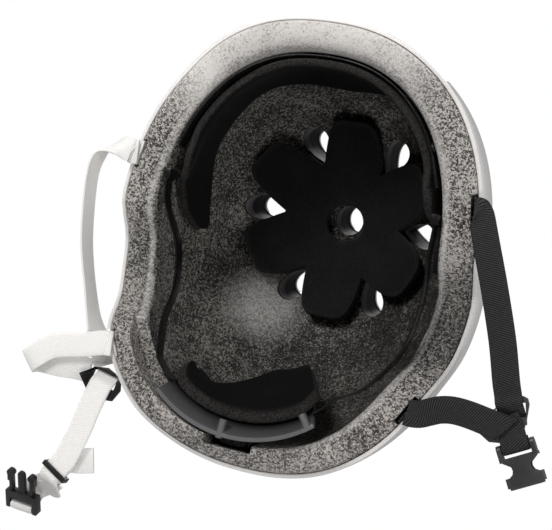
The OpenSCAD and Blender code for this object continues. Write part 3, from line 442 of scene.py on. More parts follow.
def bead_foam():
    material, add, shader, at = start_material("moulded bead polystyrene", "#3d3a37", 0.5,
                                               specular_ior_level=0.35)
    speckle = bead_speckle(add, at)
    apart = add("SeparateXYZ", links={"Vector": at})
    # painted shade: the inside is darkened towards the wearer's left
    shade_to_left = add("Math", {"operation": "MULTIPLY_ADD", 1: -0.95, 2: -0.045}, {0: apart.outputs["X"]})
    inside = add("Math", {"operation": "ADD"}, {0: speckle, 1: shade_to_left})
    deep = add("ValToRGB", {"stops": SHADED_INSIDE}, {"Fac": inside})
    plain, highlight_tone, rim_light = (add("ValToRGB", {"stops": stops}, {"Fac": speckle})
                           for stops in (PLAIN_RIM, HIGHLIGHT_SKIN, RIM_LIGHT_SKIN))
    # the inside takes the darker ramp as painted shade, the rim the plain one
    rim = add("MapRange", {"From Min": 0.03, "From Max": 0.012}, {"Value": apart.outputs["Z"]})
    colour = add("Mix", {"data_type": "RGBA"}, {SHARE: rim, FIRST: deep, SECOND: plain})
    # painted light on the rim towards the brow, then painted highlights on its inner edge and on a field
    # inside
    for share, pale in ((painted_rim_light(add, at, apart.outputs["Z"]), rim_light), (painted_highlights(add, at), highlight_tone)):
        colour = add("Mix", {"data_type": "RGBA"}, {SHARE: share, FIRST: colour.outputs[MIXED], SECOND: pale})
    for centre, radius, line in PIN_MARKS:
        off = add("VectorMath", {"operation": "DISTANCE", 1: centre}, {0: at})
        ring = add("Math", {"operation": "COMPARE", 1: radius, 2: line}, {0: off.outputs["Value"]})
        faint = add("Math", {"operation": "MULTIPLY", 1: 0.85}, {0: ring})
        colour = add("Mix", {"data_type": "RGBA", SECOND: linear("#8d8b86")},
                     {SHARE: faint, FIRST: colour.outputs[MIXED]})
    walls = add("TexVoronoi", {"feature": "DISTANCE_TO_EDGE", "Scale": BEADS}, {"Vector": at})
    dent = add("MapRange", {"From Max": 0.16}, {"Value": walls.outputs["Distance"]})
    bump = add("Bump", {"Strength": 0.55, "Distance": 0.0004}, {"Height": dent})
    wire(shader, {"Base Color": colour.outputs[MIXED], "Normal": bump})
    return material


foam = bead_foam()
print("foam finish:", foam.name)

# %% [markdown]
# A vent's wall was formed against a steel pin, so it has no beads. It is painted dark at the mouth as shade,
# pale in a band behind it as painted light, and dark deeper in as painted shade. An attribute on the mesh
# says how deep each point lies.

# %% Walls of the vents
PIN_WALL_LIGHT_AND_SHADE = [(0.0, "#0d0c0c"), (0.05, "#151314"), (0.1, "#8d878b"), (0.38, "#777175"), (0.46, "#0e0d0d"),
            (1.0, "#080808")]


def pin_face():
    material, add, shader, at = start_material("foam skin against a steel pin", "#6a6468", 0.6,
                                               specular_ior_level=0.1)
    deep = add("Attribute", {"attribute_name": "through"})
    waves = add("TexNoise", {"Scale": 180.0, "Detail": 3.0}, {"Vector": at})  # about 6 mm
    uneven = add("Math", {"operation": "MULTIPLY_ADD", 1: 0.1, 2: -0.05}, {0: waves})
    where = add("Math", {"operation": "ADD"}, {0: deep.outputs["Fac"], 1: uneven})
    # painted shade at the mouth and deeper in, and painted light on the band between
    wire(shader, {"Base Color": add("ValToRGB", {"stops": PIN_WALL_LIGHT_AND_SHADE}, {"Fac": where})})
    return material


foam_pin = pin_face()
print("vent walls:", foam_pin.name)

# %% [markdown]
# The foam liner is one thick bowl. Its profile goes down the outside, round a small chamfer, across the
# broad flat rim, over a rounded edge and up the inside. The straps' grooves, the recess of the cradle
# and the slot of the dial are cut from it with simple solids, as inserts in the mould form them.

# %% Foam liner
RISE = 56
SKIN = SHELL + 0.00032
GROOVE_TURNS = [radians(turn) for turn in (-14, 34, 194, 146)]
EXIT_HEIGHT, NUDGE = 0.015, 0.01
GROOVE_DEEP, GROOVE_WIDE, GROOVE_TALL = 0.0097, 0.018, 0.036
GROOVE_INWARDS, GROOVE_BELOW = 0.0067, 0.027
CRADLE_MIDDLE, CRADLE_REACH = Vector((-0.009, 0.0361, 0)), 0.079
RECESS_REACH, RECESS_LOW, RECESS_HIGH = CRADLE_REACH + 0.0025, -0.03, 0.014
SLOT_CORNER, SLOT_SIZE = Vector((-0.0241, 0.0607, -0.0301)), (0.0302, 0.0615, 0.0711)


def bowl_rings(profile, count):
    """Rings from pole to pole. Each stretch of the profile is (side, top, lift, from level, to level)."""
    rings = []
    for side, top, lift, first, last in profile:
        steps = max(1, round(abs(last - first) * count))
        for step in range(1 if first == last else steps + 1):
            level = first + (last - first) * step / steps
            up = max(0.0, sin(level * pi / 2)) ** (2 / DOME)
            rings.append([dome(a * 2 * pi / AROUND, up, side, top, lift) for a in range(AROUND)])
    return rings


def block(name, corner, size, axes=None):
    x, y, z = axes or (Vector((1, 0, 0)), Vector((0, 1, 0)), Vector((0, 0, 1)))
    base = [(0, 0), (1, 0), (1, 1), (0, 1)]
    rings = [[corner + x * size[0] * u + y * size[1] * v + z * size[2] * w for u, v in base] for w in (0, 1)]
    piece = ring_mesh(name, rings)
    face_outwards(piece)
    return piece


def groove_block(turn):
    """A block on the dome where a strap comes out, square to the shell there."""
    up = share_up(EXIT_HEIGHT, turn, 0, 0)
    sideways = dome(turn + NUDGE, up, 0, 0) - dome(turn - NUDGE, up, 0, 0)
    upwards = dome(turn, up + NUDGE, 0, 0) - dome(turn, up - NUDGE, 0, 0)
    out = sideways.cross(upwards).normalized()
    along = Vector((0, 0, 1)).cross(out).normalized()
    rise = out.cross(along)
    corner = dome(turn, up, 0, 0) - out * GROOVE_INWARDS - along * (GROOVE_WIDE / 2) - rise * GROOVE_BELOW
    return block(f"groove_{turn:.1f}", corner, (GROOVE_DEEP, GROOVE_WIDE, GROOVE_TALL), (out, along, rise))


liner = ring_mesh("foam_bowl", bowl_rings([
    (SKIN, SKIN, 0, 0.985, 0.03), (SKIN, SKIN, 0.0026, 0, 0), (SKIN + 0.0005, SKIN, 0.001, 0, 0),
    (SKIN + 0.0014, SKIN, 0.0002, 0, 0), (SKIN + 0.003, SKIN, 0, 0, 0), (0.009, SKIN, 0, 0, 0),
    (CAVITY - 0.009, CAVITY_TOP, 0, 0, 0), (CAVITY - 0.006, CAVITY_TOP, 0, 0, 0),
    (CAVITY - 0.004, CAVITY_TOP, 0.00025, 0, 0), (CAVITY - 0.0025, CAVITY_TOP, 0.0009, 0, 0),
    (CAVITY - 0.0012, CAVITY_TOP, 0.002, 0, 0), (CAVITY - 0.0004, CAVITY_TOP, 0.0036, 0, 0),
    (CAVITY, CAVITY_TOP, 0.0055, 0, 0), (CAVITY, CAVITY_TOP, 0, 0.06, 0.985)], RISE))
face_outwards(liner)
liner.data.materials.append(foam)
liner.data.materials.append(foam_pin)
recess = ring_mesh("recess", [[CRADLE_MIDDLE + Vector((RECESS_REACH * cos(a * pi / 64),
                                                       RECESS_REACH * sin(a * pi / 64), z))
                               for a in range(128)] for z in (RECESS_LOW, RECESS_HIGH)])
face_outwards(recess)
cut(liner, [groove_block(turn) for turn in GROOVE_TURNS] + [recess, block("slot", SLOT_CORNER, SLOT_SIZE)])
cut(liner, vent_punches("foam_punch", 0.0, foam_pin))
print("bowl of", len(liner.data.polygons), "faces")

# %% [markdown]
# Two attributes tell the finish where it is: how deep a point lies in a vent, measured up from the foam's
# inner face, and whether it lies on the inner edge of the rim, which gets a painted highlight.

# %% Marks on the foam
VENTS_OVER, VENTS_WITHIN = 0.07, 0.072
MEAN_REACH = 0.12  # turns a share of the way in from the outline into metres
WALL_STARTS, WALL_FULL = 0.004, 0.012
# the band along the rim's inner edge that gets a painted highlight
EDGE_HIGHLIGHT_FROM, EDGE_HIGHLIGHT_TO, EDGE_HIGHLIGHT_LOW, EDGE_HIGHLIGHT_HIGH, EDGE_HIGHLIGHT_SHARE = 0.0155, 0.0235, 0.0001, 0.003, 0.9
through = liner.data.attributes.new("through", "FLOAT", "POINT")
worn_edge = liner.data.attributes.new("worn_edge", "FLOAT", "POINT")
for vertex in liner.data.vertices:
    x, y, z = vertex.co
    if z > VENTS_OVER and hypot(x, y + FORWARD) < VENTS_WITHIN:
        deep = z - dome_over(x, y, CAVITY, CAVITY_TOP)
        through.data[vertex.index].value = smooth(WALL_STARTS, WALL_FULL, deep)
    inwards = (1 - (abs(x / HALF_W) ** OVAL + abs(y / HALF_L) ** OVAL) ** (1 / OVAL)) * MEAN_REACH
    if EDGE_HIGHLIGHT_FROM < inwards < EDGE_HIGHLIGHT_TO and EDGE_HIGHLIGHT_LOW < z - rim_height(y) < EDGE_HIGHLIGHT_HIGH:
        worn_edge.data[vertex.index].value = EDGE_HIGHLIGHT_SHARE
finish_shading(liner, 32)
stand_for(liner, "eps_liner", "helmet")

# %% [markdown]
# The hard outer shell is white ABS, injection moulded and polished, so it is smooth with a clear gloss.
# It is a thin bowl of the same form. Its edge is rounded, its vents are a little smaller than the
# foam's, so that its edge shows in each vent, and long use leaves faint scuffs on it.

# %% Outer shell
EDGE = 0.002
SHELL_VENTS_WITHIN = 0.0006
HAZE = [(0.3, "#e6e3e1"), (0.7, "#efedeb")]


def polished_abs():
    material, add, shader, at = start_material("polished white ABS", "#eceae8", 0.2, coat_weight=0.4,
                                               coat_roughness=0.08)
    # the haze changes over about 40 mm, and the scuffs are about 17 mm long and 1 mm wide
    haze = add("TexNoise", {"Scale": 26.0, "Detail": 5.0, "Roughness": 0.65}, {"Vector": at})
    stretch = add("Mapping", {"Scale": (60.0, 900.0, 260.0), "Rotation": (0.3, 0.5, 0.7)}, {"Vector": at})
    scuffs = add("TexNoise", {"Scale": 1.0, "Detail": 4.0, "Roughness": 0.7}, {"Vector": stretch})
    colour = add("ValToRGB", {"stops": HAZE}, {"Fac": haze})
    gloss = add("MapRange", {"From Min": 0.58, "From Max": 0.72, "To Min": 0.17, "To Max": 0.34},
                {"Value": scuffs})
    ripple = add("Bump", {"Strength": 0.05, "Distance": 0.0004}, {"Height": haze})
    wire(shader, {"Base Color": colour, "Roughness": gloss, "Normal": ripple})
    return material


shell = ring_mesh("hard_shell", bowl_rings([
    (0, 0, 0, 0.985, 0.04), (0, 0, EDGE + 0.0004, 0, 0), (0.0003, 0, EDGE, 0, 0),
    (SHELL - 0.0004, SHELL, EDGE, 0, 0), (SHELL, SHELL, EDGE + 0.0005, 0, 0),
    (SHELL, SHELL, 0, 0.04, 0.985)], RISE))
face_outwards(shell)
shell.data.materials.append(polished_abs())
cut(shell, vent_punches("shell_punch", -SHELL_VENTS_WITHIN))
apply_modifier(shell, "BEVEL", width=0.0005, segments=2, limit_method="ANGLE", angle_limit=radians(50))
finish_shading(shell, 40)
stand_for(shell, "outer_shell", "helmet")

# %% [markdown]
# The pads are sheets of soft foam with a brushed nylon face, cut out with a die and held on hook discs.
# The face is deep black and takes almost no light. The cut side shows the foam's open cells, a shade
# lighter and rough. Both are drawn in one material by an attribute that says how far round the side a
# point lies, so that the border stays soft.

# %% Pad finish
PILE = [(0.5, "#0b0b0b"), (0.75, "#121212"), (0.95, "#1b1b1b")]
PILE_INSIDE = [(0.5, "#1e1e1e"), (0.95, "#303030")]
CUT_FOAM = [(0.0, "#4c4a48"), (0.5, "#363433"), (1.0, "#1d1c1b")]
# the pad's outline in section: share across, share of the thickness, and how much of the cut side shows
PAD_LOOP = [(0.0, 0.30, 1), (0.0, 0.55, 1), (0.003, 0.74, 1), (0.014, 0.88, 0.75), (0.035, 0.965, 0.3),
            (0.08, 1.0, 0), (0.18, 1.02, 0), (0.34, 1.04, 0), (0.5, 1.05, 0), (0.66, 1.04, 0),
            (0.82, 1.02, 0), (0.92, 1.0, 0), (0.965, 0.965, 0.3), (0.986, 0.88, 0.75), (0.997, 0.74, 1),
            (1.0, 0.55, 1), (1.0, 0.30, 1), (0.985, 0.08, 1), (0.9, 0.0, 1), (0.5, 0.0, 1), (0.1, 0.0, 1),
            (0.015, 0.08, 1)]


def brushed_pad():
    material, add, shader, at = start_material("brushed nylon on open foam", "#0d0d0d", 0.95,
                                               sheen_weight=0.25, sheen_roughness=0.5, specular_ior_level=0.1)
    shader.inputs["Sheen Tint"].default_value = linear("#6a6a6a")
    # tufts and cells of about 1 mm, coarser than the real ones so that they show, in clouds of 20 mm
    pile = add("TexNoise", {"Scale": 900.0, "Detail": 3.0, "Roughness": 0.7}, {"Vector": at})
    clouds = add("TexNoise", {"Scale": 45.0, "Detail": 2.0}, {"Vector": at})
    both = add("Math", {"operation": "MULTIPLY_ADD", 1: 0.35}, {0: clouds, 2: pile})
    face = add("ValToRGB", {"stops": PILE}, {"Fac": both})
    deeper = add("ValToRGB", {"stops": PILE_INSIDE}, {"Fac": both})
    apart = add("SeparateXYZ", links={"Vector": at})
    height = add("MapRange", {"From Min": 0.07, "From Max": 0.105}, {"Value": apart.outputs["Z"]})
    faces = add("Mix", {"data_type": "RGBA"}, {SHARE: height, FIRST: face, SECOND: deeper})
    cells = add("TexVoronoi", {"Scale": 900.0}, {"Vector": at})
    side = add("ValToRGB", {"stops": CUT_FOAM}, {"Fac": cells.outputs["Distance"]})
    where = add("Attribute", {"attribute_name": "side_share"})
    colour = add("Mix", {"data_type": "RGBA"},
                 {SHARE: where.outputs["Fac"], FIRST: faces.outputs[MIXED], SECOND: side})
    bump = add("Bump", {"Strength": 0.5, "Distance": 0.0004}, {"Height": pile})
    wire(shader, {"Base Color": colour.outputs[MIXED], "Normal": bump})
    return material


def pad_from(name, rings, node, body, closed=False):
    """A pad from its rings, with the cut side marked and smoothed once."""
    piece = ring_mesh(name, rings, closed)
    layer = piece.data.attributes.new("side_share", "FLOAT", "POINT")
    for index in range(len(layer.data)):
        on_ring = index < len(rings) * len(PAD_LOOP)
        layer.data[index].value = PAD_LOOP[index % len(PAD_LOOP)][2] if on_ring else 1.0
    face_outwards(piece, merge=False)
    apply_modifier(piece, "SUBSURF", levels=1, render_levels=1)
    piece.data.materials.append(pad_black)
    finish_shading(piece, 70)
    stand_for(piece, node, body)


pad_black = brushed_pad()
print("pad finish:", pad_black.name)

# %% [markdown]
# The crown pad is one sheet with a round hole and six arms that reach between the vents. Its rays run
# out from the hole, and each ray follows the foam's inner face at a constant height, so the pad bends as
# the bowl does. Low hollows between the arms and a slight sag at the tips keep it from looking stamped.

# %% Crown pad
ARM_LONG, ARM_WIDE, ARM_POWER = 0.0635, 0.0195, 4.6
CROWN_HOLE, CROWN_THICK, CROWN_BACK = 0.012, 0.008, 0.0025
LIFT = 0.0022
RAYS = 216


def arm_reach_at(angle):
    turn = 2 * pi / VENTS
    a = angle % turn - turn / 2
    return ((cos(a) / ARM_LONG) ** ARM_POWER + (abs(sin(a)) / ARM_WIDE) ** ARM_POWER) ** (-1 / ARM_POWER)


rings = []
for i in range(RAYS):
    angle = i * 2 * pi / RAYS
    puff = 1 + 0.05 * sin(3 * angle + 1.0) * sin(7 * angle)
    ring = []
    for across, thick, _ in PAD_LOOP:
        r = CROWN_HOLE + (arm_reach_at(angle) - CROWN_HOLE) * across
        h = LIFT + CROWN_THICK * thick * (puff if thick > 0.9 else 1)
        x, y = r * cos(angle), r * sin(angle) - FORWARD + CROWN_BACK
        ring.append((x, y, dome_over(x, y, CAVITY + h, CAVITY_TOP + h)))
    rings.append(ring)
pad_from("crown_cushion", rings, "crown_pad", "helmet", closed=True)

# %% [markdown]
# The brow pad is a long thin sheet that wraps the forehead and covers the headband. It is tallest in the
# middle, narrow beside it and widens to a rounded lobe over each temple, where it rises clear of the arms.

# %% Brow pad
WRAP, BROW_THICK = 92.0, 0.0055
BAND_LEVEL, OVER_BAND, OVER_ARMS = 0.0185, 0.0034, 0.0026
BROW_LOW, BROW_LOW_RISE, BROW_HIGH, FOREHEAD_RISE, TEMPLE_LOBE = 0.0045, 0.026, 0.0405, 0.025, 0.01
STEPS = 72


def brow_edges(turn):
    a = abs(turn)
    low = BROW_LOW + BROW_LOW_RISE * smooth(0.72 * WRAP, WRAP, a)
    lobe = TEMPLE_LOBE * smooth(0.67 * WRAP, 0.94 * WRAP, a)
    high = BROW_HIGH + FOREHEAD_RISE * (1 - smooth(0, 38, a)) + lobe
    tip = min(1.0, (WRAP - a) / 7)
    return (low + high) / 2, (high - low) * sqrt(max(0.06, 1 - (1 - tip) ** 2))


def brow_stand(turn, z):
    over = OVER_BAND - LIFT + OVER_ARMS * smooth(58, 67, abs(turn))
    return LIFT + over * (1 - smooth(0.0016, 0.009, z - BAND_LEVEL))


rings = []
for i in range(-STEPS, STEPS + 1):
    turn = WRAP * sin(i / STEPS * pi / 2)
    t = radians(turn - 90)
    middle, tall = brow_edges(turn)
    puff = 1 + 0.03 * sin(turn * 0.21) + 0.02 * sin(turn * 0.53 + 1)
    ring = []
    for across, thick, _ in PAD_LOOP:
        up = middle + tall * (across - 0.5)
        z = rim_height((HALF_L - CAVITY) * signed_power(sin(t), 2 / OVAL)) + up
        h = brow_stand(turn, z) + BROW_THICK * thick * (puff if thick > 0.9 else 1)
        ring.append(dome(t, share_up(up, t, CAVITY + h, CAVITY_TOP + h), CAVITY + h, CAVITY_TOP + h))
    rings.append(ring)
pad_from("brow_cushion", rings, "brow_pad", "helmet")

# %% [markdown]
# The rear pad lies on the inside of the cradle. A low part and a taller lobe rest against the back of the
# head. It moves with the cradle when the fit is changed.

# %% Rear pad
REAR_WRAP, REAR_TALL, REAR_THICK = 43.0, 0.044, 0.008
CRADLE_LOW, CRADLE_LEAN = 0.012, 0.013 / 0.021
CRADLE_WALL, REAR_STAND = 0.005, 0.0029
LOBE_FROM, LOBE_TO, LOW_PART = -30, 9, 0.22
STEPS = 48


def cradle_reach_at(z):
    return CRADLE_REACH - CRADLE_WALL - CRADLE_LEAN * (z - CRADLE_LOW)


rings = []
for i in range(-STEPS, STEPS + 1):
    turn = REAR_WRAP * sin(i / STEPS * pi / 2)
    tip = min(1.0, (REAR_WRAP - abs(turn)) / 10)
    lobe = LOW_PART + (1 - LOW_PART) * smooth(LOBE_FROM, LOBE_TO, turn)
    high = REAR_TALL * lobe * sqrt(max(0.03, 1 - (1 - tip) ** 2))
    low = CRADLE_LOW + 0.008 * (1 - tip) ** 2
    a = radians(turn)
    ring = []
    for across, thick, _ in PAD_LOOP:
        z = low + high * across
        r = cradle_reach_at(z) - REAR_STAND - REAR_THICK * thick
        ring.append((CRADLE_MIDDLE.x + r * sin(a), CRADLE_MIDDLE.y + r * cos(a), z))
    rings.append(ring)
pad_from("rear_cushion", rings, "rear_pad", "cradle")

# %% [markdown]
# The hard plastic parts keep the form of their solids. A copy of each solid is joined up, its flat faces
# are merged, and its sharp edges get the small radius that every moulded part has. Without that radius an
# edge never catches the light. The copy then stands for the solid.

# %% A rounded copy of a solid
def rounded_copy(name, node, radius, material, body, segments=2):
    source = bpy.data.objects[node]
    piece = bpy.data.objects.new(name, source.data.copy())
    scene.collection.objects.link(piece)
    piece.matrix_world = source.matrix_world.copy()
    piece.data.materials.clear()
    piece.data.materials.append(material)
    for face in piece.data.polygons:
        face.material_index = 0
    only(piece)
    bpy.ops.object.transform_apply(location=True, rotation=True, scale=True)
    bpy.ops.object.mode_set(mode="EDIT")
    bpy.ops.mesh.select_all(action="SELECT")
    bpy.ops.mesh.remove_doubles(threshold=0.00002)
    bpy.ops.mesh.dissolve_limited(angle_limit=radians(2))
    bpy.ops.object.mode_set(mode="OBJECT")
    apply_modifier(piece, "BEVEL", width=radius, segments=segments, limit_method="ANGLE",
                   angle_limit=radians(35), use_clamp_overlap=True)
    finish_shading(piece, 35)
    stand_for(piece, node, body)
    return piece


print("rounding helper ready")

# %% [markdown]
# The headband, its arms, the cradle and the dial are black polyamide and polypropylene. Moulded in
# polished tools they have a soft gloss that shows as long grey reflections, with faint flow marks and
# small scratches that change the roughness. Two finishes do for most: one glossy and one with a fine grain.
# The cradle is glossy black, painted grey as reflection at its flared foot and darker upwards as shade under
# the pad. The buckle's acetal looks alike.

# %% Black plastics
FLOW_MARKS, LIGHTER_BY = 70.0, 12  # marks of about 14 mm, and their added lightness out of 255
CRADLE_FOOT, CRADLE_TOP = 0.0024, 0.0144
# the cradle's black is painted grey as reflection at its foot and darker upwards as shade under the pad
CRADLE_LIGHT_AND_SHADE = [(0.0, "#7c7c7d"), (0.1, "#606062"), (0.5, "#545456"), (0.8, "#353536"), (0.95, "#1c1c1c")]


def moulded_black(name, colour, rough, grain, deep, upwards=None):
    """A moulded plastic with a fine grain. Its colour has flow marks, or else it changes upwards with painted
    light and shade.
    """
    material, add, shader, at = start_material(name, colour, rough, specular_ior_level=0.55)
    flow = add("TexNoise", {"Scale": FLOW_MARKS, "Detail": 4.0, "Roughness": 0.6}, {"Vector": at})
    # the grain of 0.7 to 1.1 mm is coarser than the real one, so that it shows
    fine = add("TexNoise", {"Scale": grain, "Detail": 2.0}, {"Vector": at})
    scratched = add("MapRange", {"From Min": 0.3, "From Max": 0.7, "To Min": rough - 0.06,
                                 "To Max": rough + 0.1}, {"Value": flow})
    lighter = "#" + "".join(f"{min(255, int(colour[i:i + 2], 16) + LIGHTER_BY):02x}" for i in (1, 3, 5))
    stops, share = [(0.35, colour), (0.7, lighter)], flow
    if upwards:
        apart = add("SeparateXYZ", links={"Vector": at})
        stops, share = upwards, add("MapRange", {"From Min": CRADLE_FOOT, "From Max": CRADLE_TOP},
                                    {"Value": apart.outputs["Z"]})
    tone = add("ValToRGB", {"stops": stops}, {"Fac": share})
    bump = add("Bump", {"Strength": deep, "Distance": 0.0002}, {"Height": fine})
    wire(shader, {"Base Color": tone, "Roughness": scratched, "Normal": bump})
    return material


glossy_black = moulded_black("polished black polyamide", "#121212", 0.24, 900.0, 0.06)
cradle_painted_light = moulded_black("polished black polypropylene, painted light and shade", "#4e4e4f", 0.24, 900.0, 0.06, CRADLE_LIGHT_AND_SHADE)
grained_black = moulded_black("grained black polypropylene", "#161616", 0.4, 1400.0, 0.3)
buckle_grey = moulded_black("moulded dark grey acetal", "#3c3c3d", 0.38, 1500.0, 0.25)
buckle_black = moulded_black("moulded black acetal", "#151516", 0.3, 1500.0, 0.2)
print("plastics:", glossy_black.name, cradle_painted_light.name, grained_black.name, buckle_grey.name, buckle_black.name)

# %% [markdown]
# The fit system: the cradle behind the head with its posts, the housing, the dial, its pinion and racks,
# and the guides at the temples.

# %% Cradle, dial and guides
rounded_copy("cradle_body", "rear_cradle", 0.0004, cradle_painted_light, "cradle")
rounded_copy("dial_case", "dial_housing", 0.0003, grained_black, "cradle")
rounded_copy("dial_lid", "dial_cover", 0.0003, grained_black, "cradle")
rounded_copy("dial_knob", "fit_dial", 0.00045, grained_black, "dial")
rounded_copy("guide_loops", "temple_guides", 0.0003, glossy_black, "helmet")
rounded_copy("band_pegs", "band_anchors", 0.0002, glossy_black, "helmet")
for side in ("left", "right"):
    rounded_copy(f"rack_on_{side}", f"{side}_rack", 0.00012, grained_black, f"rack_{side}")

# %% [markdown]
# The pinion is natural acetal, which is milky white and lets a little light in. The hook discs are a
# field of tiny nylon hooks, so they look rough and dark. Rivets, washers and the dial's pin are nickel
# plated steel with fine turning marks.

# %% Pinion, hook discs and metal
CLOUDS = [(0.3, "#d8d4ca"), (0.7, "#e6e3da")]
HOOKS = [(0.1, "#3a3a3a"), (0.7, "#181818")]
PLATING = [(0.3, "#b3b0ad"), (0.6, "#cfcdca")]

milky, add, shader, at = start_material("natural acetal", "#e2dfd6", 0.35, subsurface_weight=0.1)
cloud = add("TexNoise", {"Scale": 300.0}, {"Vector": at})  # about 3 mm
wire(shader, {"Base Color": add("ValToRGB", {"stops": CLOUDS}, {"Fac": cloud})})
rounded_copy("pinion_wheel", "dial_pinion", 0.00012, milky, "dial")

# hooks 0.8 mm apart
hooks, add, shader, at = start_material("hook tape", "#242424", 0.8)
field = add("TexVoronoi", {"Scale": 1300.0, "Randomness": 0.3}, {"Vector": at}).outputs["Distance"]
bump = add("Bump", {"Strength": 1.0, "Distance": 0.0006, "invert": True}, {"Height": field})
# lighter on the hooks and darker between them, as painted light and painted shade
wire(shader, {"Base Color": add("ValToRGB", {"stops": HOOKS}, {"Fac": field}), "Normal": bump})
rounded_copy("hook_tape_discs", "hook_discs", 0.0001, hooks, "helmet")

metal, add, shader, at = start_material("nickel plated steel", "#c9c7c4", 0.25, metallic=1.0)
turned_marks = add("TexNoise", {"Scale": 1500.0, "Detail": 3.0}, {"Vector": at})  # about 0.7 mm
spread = add("MapRange", {"To Min": 0.16, "To Max": 0.42}, {"Value": turned_marks})
plating = add("ValToRGB", {"stops": PLATING}, {"Fac": turned_marks})
wire(shader, {"Base Color": plating, "Roughness": spread})
rounded_copy("rivet_heads", "strap_rivets", 0.0002, metal, "helmet")
rounded_copy("washers", "rivet_washers", 0.00015, metal, "helmet")
rounded_copy("dial_shaft", "dial_pin", 0.0002, metal, "cradle")

# %% [markdown]
# The buckle and the dividers are acetal. The socket and the divider on the wearer's left are dark grey, and
# the plug, the keeper and the right divider are black. The two prongs of the plug are springs, so each rides
# on a body of its own.

# %% Buckle and dividers
rounded_copy("socket_body", "buckle_socket", 0.00045, buckle_grey, "socket", 3)
rounded_copy("plug_body", "buckle_plug", 0.0005, buckle_black, "plug", 3)
for side in ("left", "right"):
    rounded_copy(f"prong_on_{side}", f"plug_prong_{side}", 0.0005, buckle_black, f"prong_{side}",
                 3)
rounded_copy("keeper", "keeper_ring", 0.00035, buckle_black, "ring", 3)
rounded_copy("divider_on_left", "left_divider", 0.0005, buckle_grey, "harness_left", 3)
rounded_copy("divider_on_right", "right_divider", 0.0005, buckle_black, "harness_right", 3)

# %% [markdown]
# The webbing is woven polyester, 15 mm wide. Across it run fine ribs 1.3 mm apart where the weft turns
# over the warp, and along both edges lies a denser selvedge. Each strap is a thin band along its route,
# with a map that measures real metres along and across it, so that the weave keeps its size and follows
# every fold. The left harness is black and the right one is white.

# %% Webbing finish
# spacing of the ribs along the tape and of the warp across it, and the tape's half width, in metres
RIB, WARP, HALF_TAPE = 0.0013, 0.001, 0.0075
SELVEDGE_FROM, SELVEDGE_FULL = 0.0062, 0.0068


def webbing(name, dark, base, light, rough, deep):
    material, add, shader, at = start_material(name, base, rough, sheen_weight=0.05, specular_ior_level=0.2)
    shader.inputs["Sheen Tint"].default_value = linear(light)
    cloth = add("UVMap", {"uv_map": "cloth"})
    parts = add("SeparateXYZ", links={"Vector": cloth})
    ribs = add("Math", {"operation": "MULTIPLY", 1: 2 * pi / RIB}, {0: parts.outputs["Y"]})
    warp = add("Math", {"operation": "MULTIPLY", 1: 2 * pi / WARP}, {0: parts.outputs["X"]})
    slant = add("Math", {"operation": "MULTIPLY_ADD", 1: 0.35}, {0: warp, 2: ribs})
    over = add("Math", {"operation": "SINE"}, {0: slant})
    under = add("Math", {"operation": "SINE"}, {0: warp})
    weave = add("Math", {"operation": "MULTIPLY_ADD", 1: 0.3}, {0: under, 2: over})
    height = add("MapRange", {"From Min": -1.3, "From Max": 1.3}, {"Value": weave})
    lint = add("TexNoise", {"Scale": 420.0, "Detail": 3.0}, {"Vector": at})  # about 2 mm
    # the tone is painted shade in the weave's low places and painted light on its high ones, mixed with lint,
    # the tape's own uneven tone
    tone = add("Math", {"operation": "MULTIPLY_ADD", 1: 0.35}, {0: lint, 2: height})
    colour = add("ValToRGB", {"stops": [(0.15, dark), (0.6, base), (1.0, light)]}, {"Fac": tone})
    middle = add("Math", {"operation": "SUBTRACT", 1: HALF_TAPE}, {0: parts.outputs["X"]})
    away = add("Math", {"operation": "ABSOLUTE"}, {0: middle})
    edge = add("MapRange", {"From Min": SELVEDGE_FROM, "From Max": SELVEDGE_FULL}, {"Value": away})
    share = add("Math", {"operation": "MULTIPLY", 1: 0.5}, {0: edge})
    border = add("Mix", {"data_type": "RGBA", SECOND: linear(base)}, {SHARE: share, FIRST: colour})
    bump = add("Bump", {"Strength": deep, "Distance": 0.0003}, {"Height": height})
    wire(shader, {"Base Color": border.outputs[MIXED], "Normal": bump})
    return material


black_webbing = webbing("black polyester webbing", "#161616", "#2e2e2f", "#4c4c4d", 0.7, 0.7)
white_webbing = webbing("white polyester webbing", "#dddbd9", "#e6e4e2", "#eeedeb", 0.65, 0.3)
print("webbing:", black_webbing.name, "and", white_webbing.name)

# %% [markdown]
# A strap is made from a short list of places for its middle line in millimetres, with the direction of its
# width at each. A smooth curve runs through them. Its section is a flat band with rounded edges, and the
# middle is a trace thicker than the edges, as woven tape is.

# %% Straps from routes
MM = 1000  # millimetres in a metre
SMOOTHED, CUT_OVER = 8, 6  # steps between two places, and the steps over which a slanted end slants
UPPER = [(-0.5, 0.12), (-0.485, 0.42), (-0.42, 0.5), (-0.2, 0.54), (0, 0.55), (0.2, 0.54), (0.42, 0.5),
         (0.485, 0.42), (0.5, 0.12)]
STRAP_SECTION = UPPER + [(-u, -v) for u, v in UPPER]


def smooth_route(points):
    points = [Vector(p) for p in points]
    last = len(points) - 1
    line = []
    for i in range(last):
        a, b, c, d = points[max(0, i - 1)], points[i], points[i + 1], points[min(last, i + 2)]
        for step in range(SMOOTHED):
            u = step / SMOOTHED
            bend = (2 * a - 5 * b + 4 * c - d) * u * u + (3 * b - a - 3 * c + d) * u ** 3
            line.append(0.5 * (2 * b + (c - a) * u + bend))
    return line + [points[last]]


